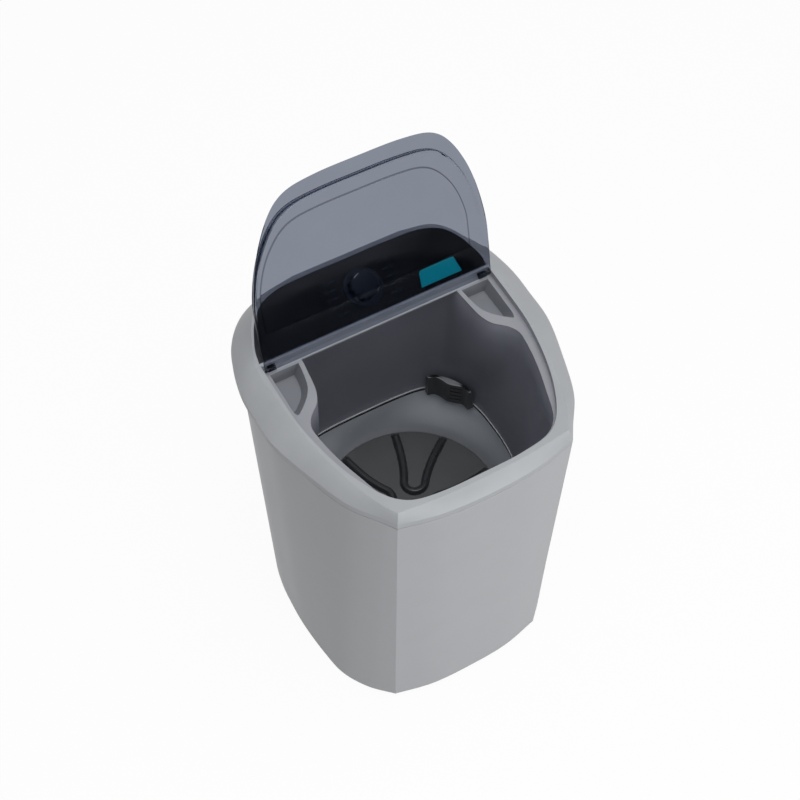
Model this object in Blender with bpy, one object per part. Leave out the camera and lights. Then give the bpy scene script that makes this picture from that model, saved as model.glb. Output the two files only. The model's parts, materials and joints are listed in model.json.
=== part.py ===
"""Semi-automatic top-loading washing machine, modelled in metres with +Z up.

The origin is on the floor, under the middle of the object's box as it stands with its lid open.
-Y is the front. The lid is built shut in its own frame and then swung open on its hinge line.
"""
from math import atan2, cos, pi, radians, sin, sqrt, tan

import bmesh
import bpy
from mathutils import Matrix, Vector

# Cabinet
BODY_WIDTH = 0.560
BODY_FRONT = 0.284
FRAME_OVERHANG = 0.0118
BODY_BACK = BODY_FRONT - FRAME_OVERHANG
SIDE_TAPER = 0.016
BASE_WIDTH = BODY_WIDTH - 2.0 * SIDE_TAPER
BASE_FRONT = 0.262
BASE_BACK = 0.248
SEAM_HEIGHT = 0.720
CABINET_LIFT = 0.008
CABINET_WALL = 0.0028

# Clearances and small amounts
GAP = 0.0003
SEAT = 0.0003
RUNNING_GAP = 0.0005
OVERRUN = 0.010

# Top frame
FRAME_WALL = 0.003
LIP_WIDTH = 0.011
FLANGE_WIDTH = 0.009
TAB_DEPTH = 0.010
TAB_WALL = 0.0028
TAB_STATIONS = (1, 9, 15, 20, 29, 34, 40, 48)
EDGE_FRONT_HEIGHT = 0.014
EDGE_SIDE_HEIGHT = 0.016
EDGE_BACK_HEIGHT = 0.036
EDGE_BLEND_SHARE = 0.4
SHOULDER_WIDTH = 0.034
CREST_WIDTH = BODY_WIDTH - 2.0 * SHOULDER_WIDTH
CREST_FRONT = 0.262
CREST_BACK = 0.243
LIP_HEIGHT = 0.757
HINGE_LIP_HEIGHT = 0.772
SHOULDER_CROWN = 0.003
LEDGE_DEPTH = 0.014

# Console plateau behind the hinge line
CONSOLE_SLOPE = radians(25.0)
RECESS_BEHIND_HINGE = 0.007
FOLD_BEHIND_HINGE = 0.0085
FASCIA_SIDE_RIM = 0.008
FASCIA_WIDTH = CREST_WIDTH - 2.0 * FASCIA_SIDE_RIM
FASCIA_DEPTH = 0.1165
FASCIA_THICKNESS = 0.004
FASCIA_MARGIN = 0.004
FASCIA_SEAT_WIDTH = 0.009
FASCIA_BEVEL = 0.0012

# Tub mouth and the trays beside the hinge
LID_HALF_WIDTH = CREST_WIDTH / 2.0 - LIP_WIDTH
LEDGE_WIDTH = 0.0205
MOUTH_WIDTH = 2.0 * (LID_HALF_WIDTH - LEDGE_WIDTH)
MOUTH_FRONT = 0.246
MOUTH_BACK = 0.158
BAR_FRONT = 0.115
TRAY_WIDTH = 0.057
TRAY_EDGE = 0.007
TRAY_LENGTH = 0.104
TRAY_DEPTH = 0.030
TRAY_INNER_X = LID_HALF_WIDTH - TRAY_EDGE - TRAY_WIDTH
TRAY_BACK_Y = 0.110
TRAY_FLOOR_SHARE = 0.70

# Lid and its hinge
HINGE_Y = 0.118
HINGE_HEIGHT = 0.766
LID_LENGTH = 0.368
LID_WALL = 0.0025
LID_SIDE_GAP = 0.0025
LID_LEAN = radians(11.0)
BRIM_FRONT = 0.044
BRIM_SIDE = 0.006
BRIM_REAR = 0.020
BRIM_RISE = 0.003
WALL_RISE = 0.021
WALL_INSET = 0.003
REAR_WALL_RUN = 0.026
SHOULDER_RISE = 0.004
SHOULDER_FRONT = 0.038
SHOULDER_SIDE = 0.015
SHOULDER_REAR = 0.058
CREASE_DROP = 0.0012
CREASE_WIDTH = 0.003
PANEL_CROWN = 0.004
PANEL_INSET = 0.035
PIN_RADIUS = 0.003
PIN_LENGTH = 0.029
PIN_SEAT_DEPTH = 0.005
EAR_RADIUS = 0.0062
EAR_WIDTH = 0.014
EAR_INSET = 0.008
EAR_FOOT = 0.009
EAR_STEPS = 8
EAR_SWEEP = radians(270.0)

# Tub: upper collar, lower bowl and what closes the joint between them
TUB_Y = -0.007
TUB_WALL = 0.003
TUB_SEAM_HEIGHT = 0.400
SEAM_HALF_WIDTH = 0.205
SEAM_FRONT = 0.208
SEAM_BACK = 0.180
COLLAR_STRAIGHT = 0.055
COLLAR_LEVEL_SHARES = (0.0, 0.3, 0.7, 1.0)
TUB_FLANGE = 0.012
GASKET_HEIGHT = 0.003
GASKET_WIDTH = 0.008
BOWL_RADIUS = 0.1945
BOWL_DROP = 0.100
FLOOR_DROP = 0.138
BOWL_LEVEL_SHARES = (0.0, 0.33, 0.67, 1.0)
BOWL_HEIGHT = TUB_SEAM_HEIGHT - BOWL_DROP
TUB_FLOOR = TUB_SEAM_HEIGHT - FLOOR_DROP
FLOOR_CORNER = 0.020
CORNER_SHARE = 0.3
HUB_HOLE_RADIUS = 0.0175
DRAIN_RADIUS = 0.013

# Lint filter in the back right corner of the tub
FILTER_HEIGHT = 0.060
FILTER_WALL = 0.002
FILTER_MARGIN = 0.005
FILTER_LEAN = 0.006
FILTER_SLOTS = 4
FILTER_SLOT_HEIGHT = 0.005
FILTER_SLOT_WIDTH = 0.026
SHELF_THICKNESS = 0.004
SCREEN_THICKNESS = 0.0015
SCREEN_HEIGHT = 0.044
SCREEN_WIDTH = 0.025
SCREEN_BARS = 4
SCREEN_BAR_WIDTH = 0.0016
FILTER_CENTRE_X = 0.168
FILTER_CENTRE_Y = 0.122

# Impeller
IMPELLER_RADIUS = 0.187
IMPELLER_DISH = 0.014
IMPELLER_LIFT = 0.002
DISH_RISE = 0.006
HOUSING_NOSE = 0.006
IMPELLER_RIM_HEIGHT = TUB_FLOOR + HOUSING_NOSE + IMPELLER_LIFT + DISH_RISE + IMPELLER_DISH
IMPELLER_WALL = 0.003
IMPELLER_SKIRT = 0.012
IMPELLER_STEPS = 28
DISH_STATION_SHARES = (0.93, 0.65, 0.35)
DISH_EDGE_SHARE = 0.985
HUB_RADIUS = 0.028
HUB_RISE = 0.007
HUB_TOP_SHARE = 0.86
HUB_SOLE_SHARE = 0.8
RIB_COUNT = 5
RIB_REACH = 0.172
RIB_TIP = 0.0445
RIB_TURN_RADIUS = 0.022
RIB_HALF_ANGLE = radians(16.5)
RIB_HALF_WIDTH = 0.0075
RIB_RISE = 0.010
RIB_SINK = 0.002
RIB_ARM_SHARES = (0.0, 0.34, 0.67)
RIB_ARM_CURVE = 1.6
RIB_TURN_STEPS = 5
RIB_END_SHARE = 0.25
RIB_SECTION_SHARES = ((-1.0, 0.0), (-0.55, 0.85), (0.55, 0.85), (1.0, 0.0))
RIB_FIRST_ANGLE = radians(55.0)
CAP_RADIUS = 0.020
CAP_RISE = 0.009
CAP_PROFILE_SHARES = ((0.0, 1.0), (0.6, 0.9), (1.0, 0.35), (1.0, 0.0))
CAP_HOLE_RADIUS = 0.0022
CAP_HOLE_OFFSET = 0.0125
CAP_HOLES = 4
BOLT_HEAD_RADIUS = 0.0065
BOLT_HEAD_HEIGHT = 0.004

# Drive below the tub
SHAFT_RADIUS = 0.008
PLATE_THICKNESS = 0.003
PLATE_WIDTH = 0.116
PLATE_FRONT = 0.075
PLATE_BACK = 0.205
HOUSING_RADIUS = 0.026
HOUSING_FLANGE_RADIUS = 0.052
HOUSING_FLANGE = 0.006
HOUSING_FOOT_SHARE = 0.85
HOUSING_LENGTH = 0.082
BUSH_RADIUS = 0.0145
BUSH_LENGTH = 0.020
SEAL_HEIGHT = 0.006
PULLEY_RADIUS = 0.080
PULLEY_HEIGHT = 0.018
PULLEY_HUB_RADIUS = 0.018
PULLEY_WEB = 0.006
PULLEY_RIM = 0.014
PULLEY_HOLES = 6
PULLEY_HOLE_RADIUS = 0.012
PULLEY_HOLE_TURN = radians(5.0)
PULLEY_DROP = 0.012
PULLEY_STEPS = 20
GROOVE_DEPTH = 0.008
GROOVE_MOUTH = 0.013
GROOVE_FLOOR = 0.006
NUT_RADIUS = 0.0125
NUT_HEIGHT = 0.007
MOTOR_DISTANCE = 0.155
MOTOR_RADIUS = 0.054
MOTOR_HEIGHT = 0.092
MOTOR_BELL = 0.016
MOTOR_TOP_SHARE = 0.86
MOTOR_FOOT_SHARE = 0.62
MOTOR_BOLTS = 4
MOTOR_BOLT_SHARE = 0.66
MOTOR_SHAFT_RADIUS = 0.006
MOTOR_PULLEY_RADIUS = 0.023
MOTOR_BORE_DEPTH = 0.050
BELT_THICKNESS = 0.006
BELT_CLEARANCE = 0.0004
BELT_STEPS = (22, 9)
BOLT_RADIUS = 0.003
BOLT_RING_RADIUS = 0.040
RING_BOLTS = 4
BOSS_RADIUS = 0.007
BOSS_HEIGHT = 0.008
BOLT_SHANK = 0.014
BOLT_BITE_SHARE = 0.8

# Base, feet and what sits on the base
BASE_THICKNESS = 0.003
BASE_RIM = 0.024
FOOT_RADIUS = 0.021
FOOT_HEIGHT = 0.012
FOOT_STEM_RADIUS = 0.008
FOOT_STEM_LENGTH = 0.009
FOOT_INSET = 0.079
FOOT_STEPS = 12
FOOT_PROFILE_SHARES = ((0.8, 1.0), (1.0, 0.3), (0.95, 0.0))
FOOT_X = BASE_WIDTH / 2.0 - FOOT_INSET
FOOT_FRONT_Y = 0.185
FOOT_BACK_Y = 0.180
CAPACITOR_RADIUS = 0.020
CAPACITOR_HEIGHT = 0.075
CAPACITOR_X = 0.150
CAPACITOR_Y = 0.080
CAN_PROFILE_SHARES = ((0.0, 1.0), (0.9, 1.0), (1.0, 0.95), (1.0, 0.0), (0.0, 0.0))
CLIP_WALL = 0.0015
CLIP_HEIGHT = 0.018

# Console contents
KNOB_RADIUS = 0.038
KNOB_SKIRT = 0.004
KNOB_HEIGHT = 0.020
KNOB_GRIP_RADIUS = 0.030
KNOB_FLUTES = 12
KNOB_FLUTE_SHARE = 0.07
KNOB_GRIP_SHARES = ((1.0, 0.1), (0.96, 0.7), (0.90, 0.92), (0.78, 1.0))
SKIRT_EDGE_SHARE = 0.6
KNOB_UP_SLOPE = 0.058
SPINDLE_RADIUS = 0.003
SPINDLE_REACH = 0.014
SPINDLE_DEPTH = 0.012
TIMER_SIZE = 0.044
TIMER_DEPTH = 0.030
TIMER_BEVEL = 0.002
HOUSING_BOX_WIDTH = 0.120
HOUSING_BOX_LENGTH = 0.051
HOUSING_BOX_DEPTH = 0.042
HOUSING_BOX_WALL = 0.002
BADGE_WIDTH = 0.086
BADGE_HEIGHT = 0.031
BADGE_THICKNESS = 0.0012
BADGE_EDGE = 0.051
BADGE_X = FASCIA_WIDTH / 2.0 - BADGE_EDGE - BADGE_WIDTH / 2.0
BADGE_UP_SLOPE = 0.028

# Rear wall fittings
COVER_WIDTH = 0.230
COVER_HEIGHT = 0.260
COVER_THICKNESS = 0.002
COVER_LAP = 0.014
COVER_CENTRE = 0.235
LOUVRES = 8
LOUVRE_WIDTH = 0.120
LOUVRE_HEIGHT = 0.005
LOUVRE_PITCH = 0.014
SCREW_RADIUS = 0.0042
SCREW_HEAD = 0.0022
SCREW_SHANK_RADIUS = 0.0018
SCREW_SHANK = 0.009
SCREW_HEAD_SHARES = ((0.0, 1.0), (0.6, 1.0), (1.0, 0.3), (1.0, 0.0))
PIPE_RADIUS = 0.015
PIPE_WALL = 0.0025
PIPE_X = -0.085
PIPE_Y = 0.090
PIPE_HEIGHT = 0.060
PIPE_BEND = 0.035
PIPE_SIDES = 12
BEND_STEPS = 4
SPIGOT_REACH = 0.030
SPIGOT_FLANGE_RADIUS = 0.026
SPIGOT_FLANGE = 0.003
SPIGOT_BARB = 0.0015
BARB_SHARES = (0.45, 0.5, 0.7, 0.75)
GLAND_X = 0.085
GLAND_HEIGHT = 0.060
GLAND_RADIUS = 0.009
GLAND_BORE = 0.0035
GLAND_REACH = 0.010
GLAND_FLANGE_RADIUS = 0.013
GLAND_FLANGE = 0.003
GLAND_NECK_SHARES = (0.9, 0.7)

RING_STEPS = 2
ROUND_STEPS = 16
HOLE_STEPS = 8
MERGE_DISTANCE = 0.00001
FOLD_SHARE = (HINGE_Y + FOLD_BEHIND_HINGE) / CREST_BACK

# Outlines, front centre to back centre on the right side: x as a share of the half width, y as a
# share of the reach to the front (negative) or to the back (positive). True marks a sharp corner.
BODY_OUTLINE_SHARES = (
    (0.0, -1.0, False), (0.347, -0.980, False), (0.630, -0.917, True), (0.688, -0.832, False),
    (0.822, -0.644, False), (0.929, -0.352, False), (1.0, -0.030, False), (0.994, 0.20, False),
    (0.974, 0.455, False), (0.901, 0.710, False), (0.765, 0.890, False), (0.610, 0.980, False),
    (0.46, 1.0, True), (0.0, 1.0, False))
BASE_OUTLINE_SHARES = (
    (0.0, -1.0, False), (0.344, -0.985, False), (0.648, -0.9165, True), (0.808, -0.752, False),
    (0.925, -0.547, False), (0.970, -0.324, False), (1.0, -0.020, False), (1.0, 0.20, False),
    (0.980, 0.463, False), (0.916, 0.710, False), (0.785, 0.895, False), (0.600, 0.980, False),
    (0.45, 1.0, True), (0.0, 1.0, False))
CREST_OUTLINE_SHARES = (
    (0.0, -1.0, False), (0.36, -0.992, False), (0.691, -0.960, True), (0.756, -0.860, False),
    (0.838, -0.670, False), (0.932, -0.330, False), (0.976, -0.030, False), (0.992, 0.19, False),
    (1.0, FOLD_SHARE, False), (0.948, 0.680, False), (0.868, 0.835, False), (0.722, 0.952, False),
    (0.45, 1.0, True), (0.0, 1.0, False))
MOUTH_OUTLINE_SHARES = (
    (0.0, -1.0, False), (0.38, -0.990, False), (0.660, -0.945, False), (0.780, -0.855, False),
    (0.880, -0.617, False), (0.953, -0.396, False), (0.995, -0.190, False), (0.998, -0.092, False),
    (0.953, -0.015, False), (0.844, 0.120, False), (0.797, 0.270, False), (0.765, 0.600, False),
    (0.735, 0.890, False), (0.650, 0.990, False), (0.0, 1.0, False))
SEAM_OUTLINE_SHARES = (
    (0.0, -1.0, False), (0.37, -0.955, False), (0.620, -0.830, False), (0.785, -0.680, False),
    (0.895, -0.510, False), (0.966, -0.320, False), (0.996, -0.110, False), (1.0, 0.10, False),
    (0.995, 0.28, False), (0.971, 0.470, False), (0.925, 0.640, False), (0.850, 0.785, False),
    (0.745, 0.895, False), (0.600, 0.965, False), (0.0, 1.0, False))
# The lid: x as a share of its half width, then its reach from the hinge line as a share of its length.
LID_OUTLINE_SHARES = (
    (0.0, 1.0, False), (0.34, 0.996, False), (0.560, 0.973, False), (0.666, 0.932, False),
    (0.751, 0.864, False), (0.843, 0.747, False), (0.902, 0.639, False), (0.953, 0.503, False),
    (0.989, 0.353, False), (0.998, 0.204, False), (1.0, 0.050, False), (1.0, 0.0, True),
    (0.0, 0.0, False))
FASCIA_OUTLINE_SHARES = (
    (0.0, 0.0, False), (1.0, 0.0, True), (0.985, 0.20, False), (0.955, 0.37, False),
    (0.900, 0.60, False), (0.800, 0.830, False), (0.640, 0.960, False), (0.35, 1.0, False),
    (0.0, 1.0, False))
# A tray's rim, from its inner back corner round its front tip: across its width, then along its length.
TRAY_OUTLINE_SHARES = (
    (0.0, 0.0), (0.06, 0.30), (0.16, 0.54), (0.37, 0.73), (0.78, 0.95), (0.93, 1.0), (0.99, 0.93),
    (1.0, 0.55), (1.0, 0.0))
# The badge plate, from its middle: a slanted right end and a rounded top left corner.
BADGE_OUTLINE_SHARES = (
    (-0.5, -0.5), (0.5, -0.5), (0.463, 0.5), (-0.314, 0.5), (-0.379, 0.448), (-0.416, 0.294))
# The filter's wavy front, from its back end to its side end: x and y as shares of the tub seam's reach.
FILTER_FRONT_SHARES = (
    (0.630, 0.850), (0.695, 0.825), (0.735, 0.750), (0.765, 0.665), (0.835, 0.585), (0.878, 0.535),
    (0.885, 0.445))


# Materials: base colour, roughness, metallic, and how much light passes through
FINISHES = {
    "body_grey": ((0.42, 0.43, 0.45), 0.38, 0.0, 0.0),
    "frame_grey": ((0.40, 0.42, 0.44), 0.35, 0.0, 0.0),
    "collar_grey": ((0.10, 0.11, 0.12), 0.30, 0.0, 0.0),
    "bowl_grey": ((0.17, 0.18, 0.20), 0.35, 0.0, 0.0),
    "smoke": ((0.20, 0.22, 0.28), 0.08, 0.0, 0.8),
    "gloss_black": ((0.010, 0.011, 0.014), 0.12, 0.0, 0.0),
    "knob_black": ((0.012, 0.016, 0.024), 0.30, 0.0, 0.0),
    "teal": ((0.0, 0.20, 0.26), 0.35, 0.0, 0.0),
    "impeller_grey": ((0.055, 0.058, 0.065), 0.32, 0.0, 0.0),
    "filter_grey": ((0.045, 0.048, 0.052), 0.38, 0.0, 0.0),
    "rubber": ((0.020, 0.020, 0.021), 0.80, 0.0, 0.0),
    "steel": ((0.55, 0.56, 0.58), 0.35, 1.0, 0.0),
    "zinc": ((0.45, 0.46, 0.47), 0.45, 1.0, 0.0),
    "aluminium": ((0.60, 0.60, 0.61), 0.50, 1.0, 0.0),
    "bronze": ((0.35, 0.22, 0.10), 0.45, 1.0, 0.0),
    "black_plastic": ((0.025, 0.025, 0.027), 0.50, 0.0, 0.0),
    "pale_plastic": ((0.65, 0.65, 0.62), 0.50, 0.0, 0.0),
    "belt_rubber": ((0.015, 0.015, 0.015), 0.70, 0.0, 0.0),
}

ORIGIN = Vector((0.0, 0.0, 0.0))
UP = Vector((0.0, 0.0, 1.0))
ACROSS = Vector((1.0, 0.0, 0.0))
LIP_SLOPE = (HINGE_LIP_HEIGHT - LIP_HEIGHT) / (HINGE_Y + MOUTH_FRONT)
FOLD_Y = HINGE_Y + FOLD_BEHIND_HINGE
REAR_TILT = atan2(BODY_BACK - BASE_BACK, SEAM_HEIGHT - CABINET_LIFT)


def clear_scene():
    """Remove every object that the open file holds."""
    for item in list(bpy.data.objects):
        bpy.data.objects.remove(item, do_unlink=True)


def finish_material(name):
    """Give the material of a finish, making it the first time."""
    known = bpy.data.materials.get(name)
    if known:
        return known
    colour, roughness, metallic, clear = FINISHES[name]
    made = bpy.data.materials.new(name)
    made.use_nodes = True
    shader = made.node_tree.nodes["Principled BSDF"]
    shader.inputs["Base Color"].default_value = (*colour, 1.0)
    shader.inputs["Roughness"].default_value = roughness
    shader.inputs["Metallic"].default_value = metallic
    shader.inputs["Transmission Weight"].default_value = clear
    return made


def sub_part(name, mesh, finish):
    """Turn a finished bmesh into a named object with faces outward and round faces smooth."""
    bmesh.ops.recalc_face_normals(mesh, faces=mesh.faces[:])
    data = bpy.data.meshes.new(name)
    mesh.to_mesh(data)
    mesh.free()
    data.materials.append(finish_material(finish))
    item = bpy.data.objects.new(name, data)
    bpy.context.scene.collection.objects.link(item)
    data.shade_smooth()
    data.set_sharp_from_angle(angle=radians(30.0))
    return item


def combine(target, tool, operation):
    """Cut a tool from an object, or join it on, and remove the tool."""
    tool.hide_render = True
    tool.display_type = "WIRE"
    modifier = target.modifiers.new(operation.lower(), "BOOLEAN")
    modifier.operation = operation
    modifier.solver = "EXACT"
    modifier.object = tool
    depsgraph = bpy.context.evaluated_depsgraph_get()
    result = bpy.data.meshes.new_from_object(target.evaluated_get(depsgraph))
    target.modifiers.clear()
    mesh = bmesh.new()
    mesh.from_mesh(result)
    bmesh.ops.remove_doubles(mesh, verts=mesh.verts[:], dist=MERGE_DISTANCE)
    bmesh.ops.dissolve_degenerate(mesh, edges=mesh.edges[:], dist=MERGE_DISTANCE)
    mesh.to_mesh(result)
    mesh.free()
    old = target.data
    target.data = result
    bpy.data.meshes.remove(old)
    bpy.data.objects.remove(tool, do_unlink=True)
    target.data.shade_smooth()
    target.data.set_sharp_from_angle(angle=radians(30.0))


def cut(target, *tools):
    """Cut each tool from an object."""
    for tool in tools:
        combine(target, tool, "DIFFERENCE")


def join(target, *tools):
    """Fuse each tool to an object."""
    for tool in tools:
        combine(target, tool, "UNION")


def curve_point(before, start, end, after, share):
    """Give a point between start and end on a smooth curve through all four points."""
    knots = [0.0]
    for first, second in ((before, start), (start, end), (end, after)):
        knots.append(knots[-1] + sqrt((second - first).length))
    place = knots[1] + share * (knots[2] - knots[1])

    def mix(first, second, low, high):
        return first * ((high - place) / (high - low)) + second * ((place - low) / (high - low))

    near = mix(before, start, knots[0], knots[1])
    middle = mix(start, end, knots[1], knots[2])
    far = mix(end, after, knots[2], knots[3])
    first = mix(near, middle, knots[0], knots[2])
    second = mix(middle, far, knots[1], knots[3])
    return mix(first, second, knots[1], knots[2])


def half_outline(shares, half_width, front, back, middle=0.0):
    """Turn a table of shares into points in metres, with their corner marks."""
    points = []
    for across, along, corner in shares:
        reach = front if along < 0.0 else back
        points.append((Vector((across * half_width, middle + along * reach)), corner))
    return points


def ring(half):
    """Mirror a half outline and draw a smooth closed curve through its points."""
    mirrored = [(Vector((-point.x, point.y)), corner) for point, corner in reversed(half[1:-1])]
    stations = half + mirrored
    count = len(stations)
    points = []
    for index, (start, start_corner) in enumerate(stations):
        end, end_corner = stations[(index + 1) % count]
        before = 2.0 * start - end if start_corner else stations[index - 1][0]
        after = 2.0 * end - start if end_corner else stations[(index + 2) % count][0]
        for step in range(RING_STEPS):
            points.append(curve_point(before, start, end, after, step / RING_STEPS))
    return points


def offset(points, distance):
    """Move a closed outline outward by a distance, which may be a function of the point."""
    moved = []
    points = [point.to_2d() for point in points]
    count = len(points)
    for index, point in enumerate(points):
        before = (point - points[index - 1]).normalized()
        after = (points[(index + 1) % count] - point).normalized()
        along = (before + after).normalized()
        normal = Vector((along.y, -along.x))
        stretch = max(normal.dot(Vector((before.y, -before.x))), 0.5)
        amount = distance(point) if callable(distance) else distance
        moved.append(point + normal * (amount / stretch))
    return moved


def blend(first, second, share):
    """Mix two outlines point by point."""
    return [a.lerp(b, share) for a, b in zip(first, second)]


def raised(points, height):
    """Lift a flat outline to a height, which may be a function of the point."""
    return [Vector((p.x, p.y, height(p) if callable(height) else height)) for p in points]


def strip_cap(mesh, row):
    """Close a mirrored ring with strips that run straight from side to side."""
    count = len(row)
    half = count // 2
    reach = RING_STEPS + 1
    mesh.faces.new(row[count - reach:] + row[:reach + 1])
    for index in range(reach, half - reach):
        mesh.faces.new((row[index], row[index + 1], row[count - index - 1], row[count - index]))
    mesh.faces.new(row[half - reach:half + reach + 1])


def loft(name, rings, finish, ends="strip"):
    """Skin a row of rings. The ends are closed by strips, by flat faces, or joined to each other."""
    mesh = bmesh.new()
    rows = [[mesh.verts.new(point) for point in points] for points in rings]
    count = len(rows[0])
    if ends == "joined":
        rows.append(rows[0])
    for low, high in zip(rows, rows[1:]):
        for index in range(count):
            after = (index + 1) % count
            mesh.faces.new((low[index], low[after], high[after], high[index]))
    if ends == "strip":
        strip_cap(mesh, rows[0])
        strip_cap(mesh, rows[-1])
    if ends == "flat":
        mesh.faces.new(rows[0])
        mesh.faces.new(rows[-1])
    return sub_part(name, mesh, finish)


def block(name, size, centre, finish, bevel=0.0):
    """Make a box from its size and centre, with its edges rounded where a bevel is given."""
    mesh = bmesh.new()
    bmesh.ops.create_cube(mesh, size=1.0)
    bmesh.ops.scale(mesh, vec=size, verts=mesh.verts[:])
    if bevel:
        bmesh.ops.bevel(mesh, geom=mesh.edges[:], offset=bevel, segments=2, affect="EDGES", profile=0.5)
    bmesh.ops.translate(mesh, vec=centre, verts=mesh.verts[:])
    return sub_part(name, mesh, finish)


def turned(name, profile, finish, centre, axis=UP, closed=False, steps=ROUND_STEPS):
    """Spin a profile of radius and height round an axis through a centre."""
    mesh = bmesh.new()
    rows = []
    for radius, height in profile:
        if radius:
            angles = [2.0 * pi * step / steps for step in range(steps)]
            rows.append([mesh.verts.new((radius * cos(a), radius * sin(a), height)) for a in angles])
        else:
            rows.append([mesh.verts.new((0.0, 0.0, height))])
    if closed:
        rows.append(rows[0])
    for low, high in zip(rows, rows[1:]):
        for step in range(steps):
            after = (step + 1) % steps
            if len(low) == 1:
                mesh.faces.new((low[0], high[step], high[after]))
            elif len(high) == 1:
                mesh.faces.new((low[step], low[after], high[0]))
            else:
                mesh.faces.new((low[step], low[after], high[after], high[step]))
    item = sub_part(name, mesh, finish)
    item.location = centre
    item.rotation_mode = "QUATERNION"
    item.rotation_quaternion = UP.rotation_difference(axis)
    bpy.context.view_layer.update()
    return item


def rod(name, radius, low, high, finish, centre, axis=UP, steps=ROUND_STEPS):
    """Make a plain round bar between two heights along its axis."""
    profile = ((0.0, low), (radius, low), (radius, high), (0.0, high))
    return turned(name, profile, finish, centre, axis, steps=steps)


def small_hole(radius, low, high, finish, centre):
    """Make the cutter of a small round hole between two heights."""
    return rod("hole", radius, low, high, finish, centre, steps=HOLE_STEPS)


def tube(name, outer, inner, low, high, finish, centre, axis=UP, steps=ROUND_STEPS):
    """Make a plain round tube between two heights along its axis."""
    profile = ((outer, low), (outer, high), (inner, high), (inner, low))
    return turned(name, profile, finish, centre, axis, closed=True, steps=steps)


def place(item, matrix):
    """Put a finished object where a matrix says."""
    item.matrix_world = matrix
    bpy.context.view_layer.update()
    return item


def top_height(point):
    """Give the height of the frame's top surface: the lid's plane, then the console's slope."""
    level = LIP_HEIGHT + (point.y + MOUTH_FRONT) * LIP_SLOPE
    if point.y <= FOLD_Y:
        return level
    fold_level = LIP_HEIGHT + (FOLD_Y + MOUTH_FRONT) * LIP_SLOPE
    return fold_level + (point.y - FOLD_Y) * tan(CONSOLE_SLOPE)


def ledge_height(point):
    """Give the height of the ledge that the shut lid rests on."""
    return LIP_HEIGHT + (point.y + MOUTH_FRONT) * LIP_SLOPE - LEDGE_DEPTH


def ease(value):
    """Go smoothly from nought to one."""
    value = min(max(value, 0.0), 1.0)
    return value * value * (3.0 - 2.0 * value)


def body_ring():
    """Give the cabinet's outline where it meets the top frame."""
    return ring(half_outline(BODY_OUTLINE_SHARES, BODY_WIDTH / 2.0, BODY_FRONT, BODY_BACK))


def base_ring():
    """Give the cabinet's outline at its foot."""
    return ring(half_outline(BASE_OUTLINE_SHARES, BASE_WIDTH / 2.0, BASE_FRONT, BASE_BACK))


def crest_ring():
    """Give the outline of the frame's crest, round the lid and the console."""
    return ring(half_outline(CREST_OUTLINE_SHARES, CREST_WIDTH / 2.0, CREST_FRONT, CREST_BACK))


def mouth_ring():
    """Give the outline of the tub's mouth, drawn in beside the trays."""
    return ring(half_outline(MOUTH_OUTLINE_SHARES, MOUTH_WIDTH / 2.0, MOUTH_FRONT, MOUTH_BACK))


def seam_ring():
    """Give the tub's outline where its collar and its bowl meet."""
    return ring(half_outline(SEAM_OUTLINE_SHARES, SEAM_HALF_WIDTH, SEAM_FRONT, SEAM_BACK))


def recess_ring():
    """Give the outline of the recess that the shut lid lies in."""
    half = []
    for across, along, corner in LID_OUTLINE_SHARES:
        y = HINGE_Y - along * LID_LENGTH if along else HINGE_Y + RECESS_BEHIND_HINGE - LID_SIDE_GAP
        half.append((Vector((across * LID_HALF_WIDTH, y)), corner))
    return offset(ring(half), LID_SIDE_GAP)


def overhang(point):
    """Give how far the frame stands out past the cabinet: nothing at the front, most at the back."""
    return FRAME_OVERHANG * ease((point.y + BODY_FRONT / 2.0) / (BODY_FRONT / 2.0 + HINGE_Y))


def edge_height(point):
    """Give the height of the frame's upright outer edge, from the seam up."""
    to_side = ease((point.y + BODY_FRONT) / (BODY_FRONT * EDGE_BLEND_SHARE))
    to_back = ease(point.y / BODY_BACK)
    front_part = EDGE_FRONT_HEIGHT + (EDGE_SIDE_HEIGHT - EDGE_FRONT_HEIGHT) * to_side
    return front_part + (EDGE_BACK_HEIGHT - EDGE_SIDE_HEIGHT) * to_back


def console_matrix():
    """Give the console's own frame: X across, Y up the slope, Z out of the panel."""
    fold = Vector((0.0, FOLD_Y, top_height(Vector((0.0, FOLD_Y)))))
    return Matrix.Translation(fold) @ Matrix.Rotation(CONSOLE_SLOPE, 4, "X")


def fascia_ring(inset=0.0):
    """Give the fascia's outline in the console's own frame."""
    half = half_outline(FASCIA_OUTLINE_SHARES, FASCIA_WIDTH / 2.0, 0.0, FASCIA_DEPTH, FASCIA_MARGIN)
    return offset(ring(half), -inset)


def rear_matrix(height):
    """Give a frame on the cabinet's flat rear wall: X across, Y outward, Z up the wall."""
    y = BASE_BACK + (height - CABINET_LIFT) * tan(REAR_TILT)
    return Matrix.Translation((0.0, y, height)) @ Matrix.Rotation(-REAR_TILT, 4, "X")


def rear_axis(x, height):
    """Give a frame on the rear wall whose Z points outward, for what is turned."""
    return rear_matrix(height) @ Matrix.Translation((x, 0.0, 0.0)) @ Matrix.Rotation(-pi / 2.0, 4, "X")


def cover_screw_places():
    """Give the rear cover's screws as frames in the cover's own frame, with Z pointing outward."""
    x = COVER_WIDTH / 2.0 - COVER_LAP / 2.0
    z = COVER_HEIGHT / 2.0 - COVER_LAP / 2.0
    outward = Matrix.Rotation(-pi / 2.0, 4, "X")
    return [Matrix.Translation((side * x, 0.0, end * z)) @ outward
            for end in (1.0, -1.0) for side in (-1.0, 1.0)]


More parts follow.
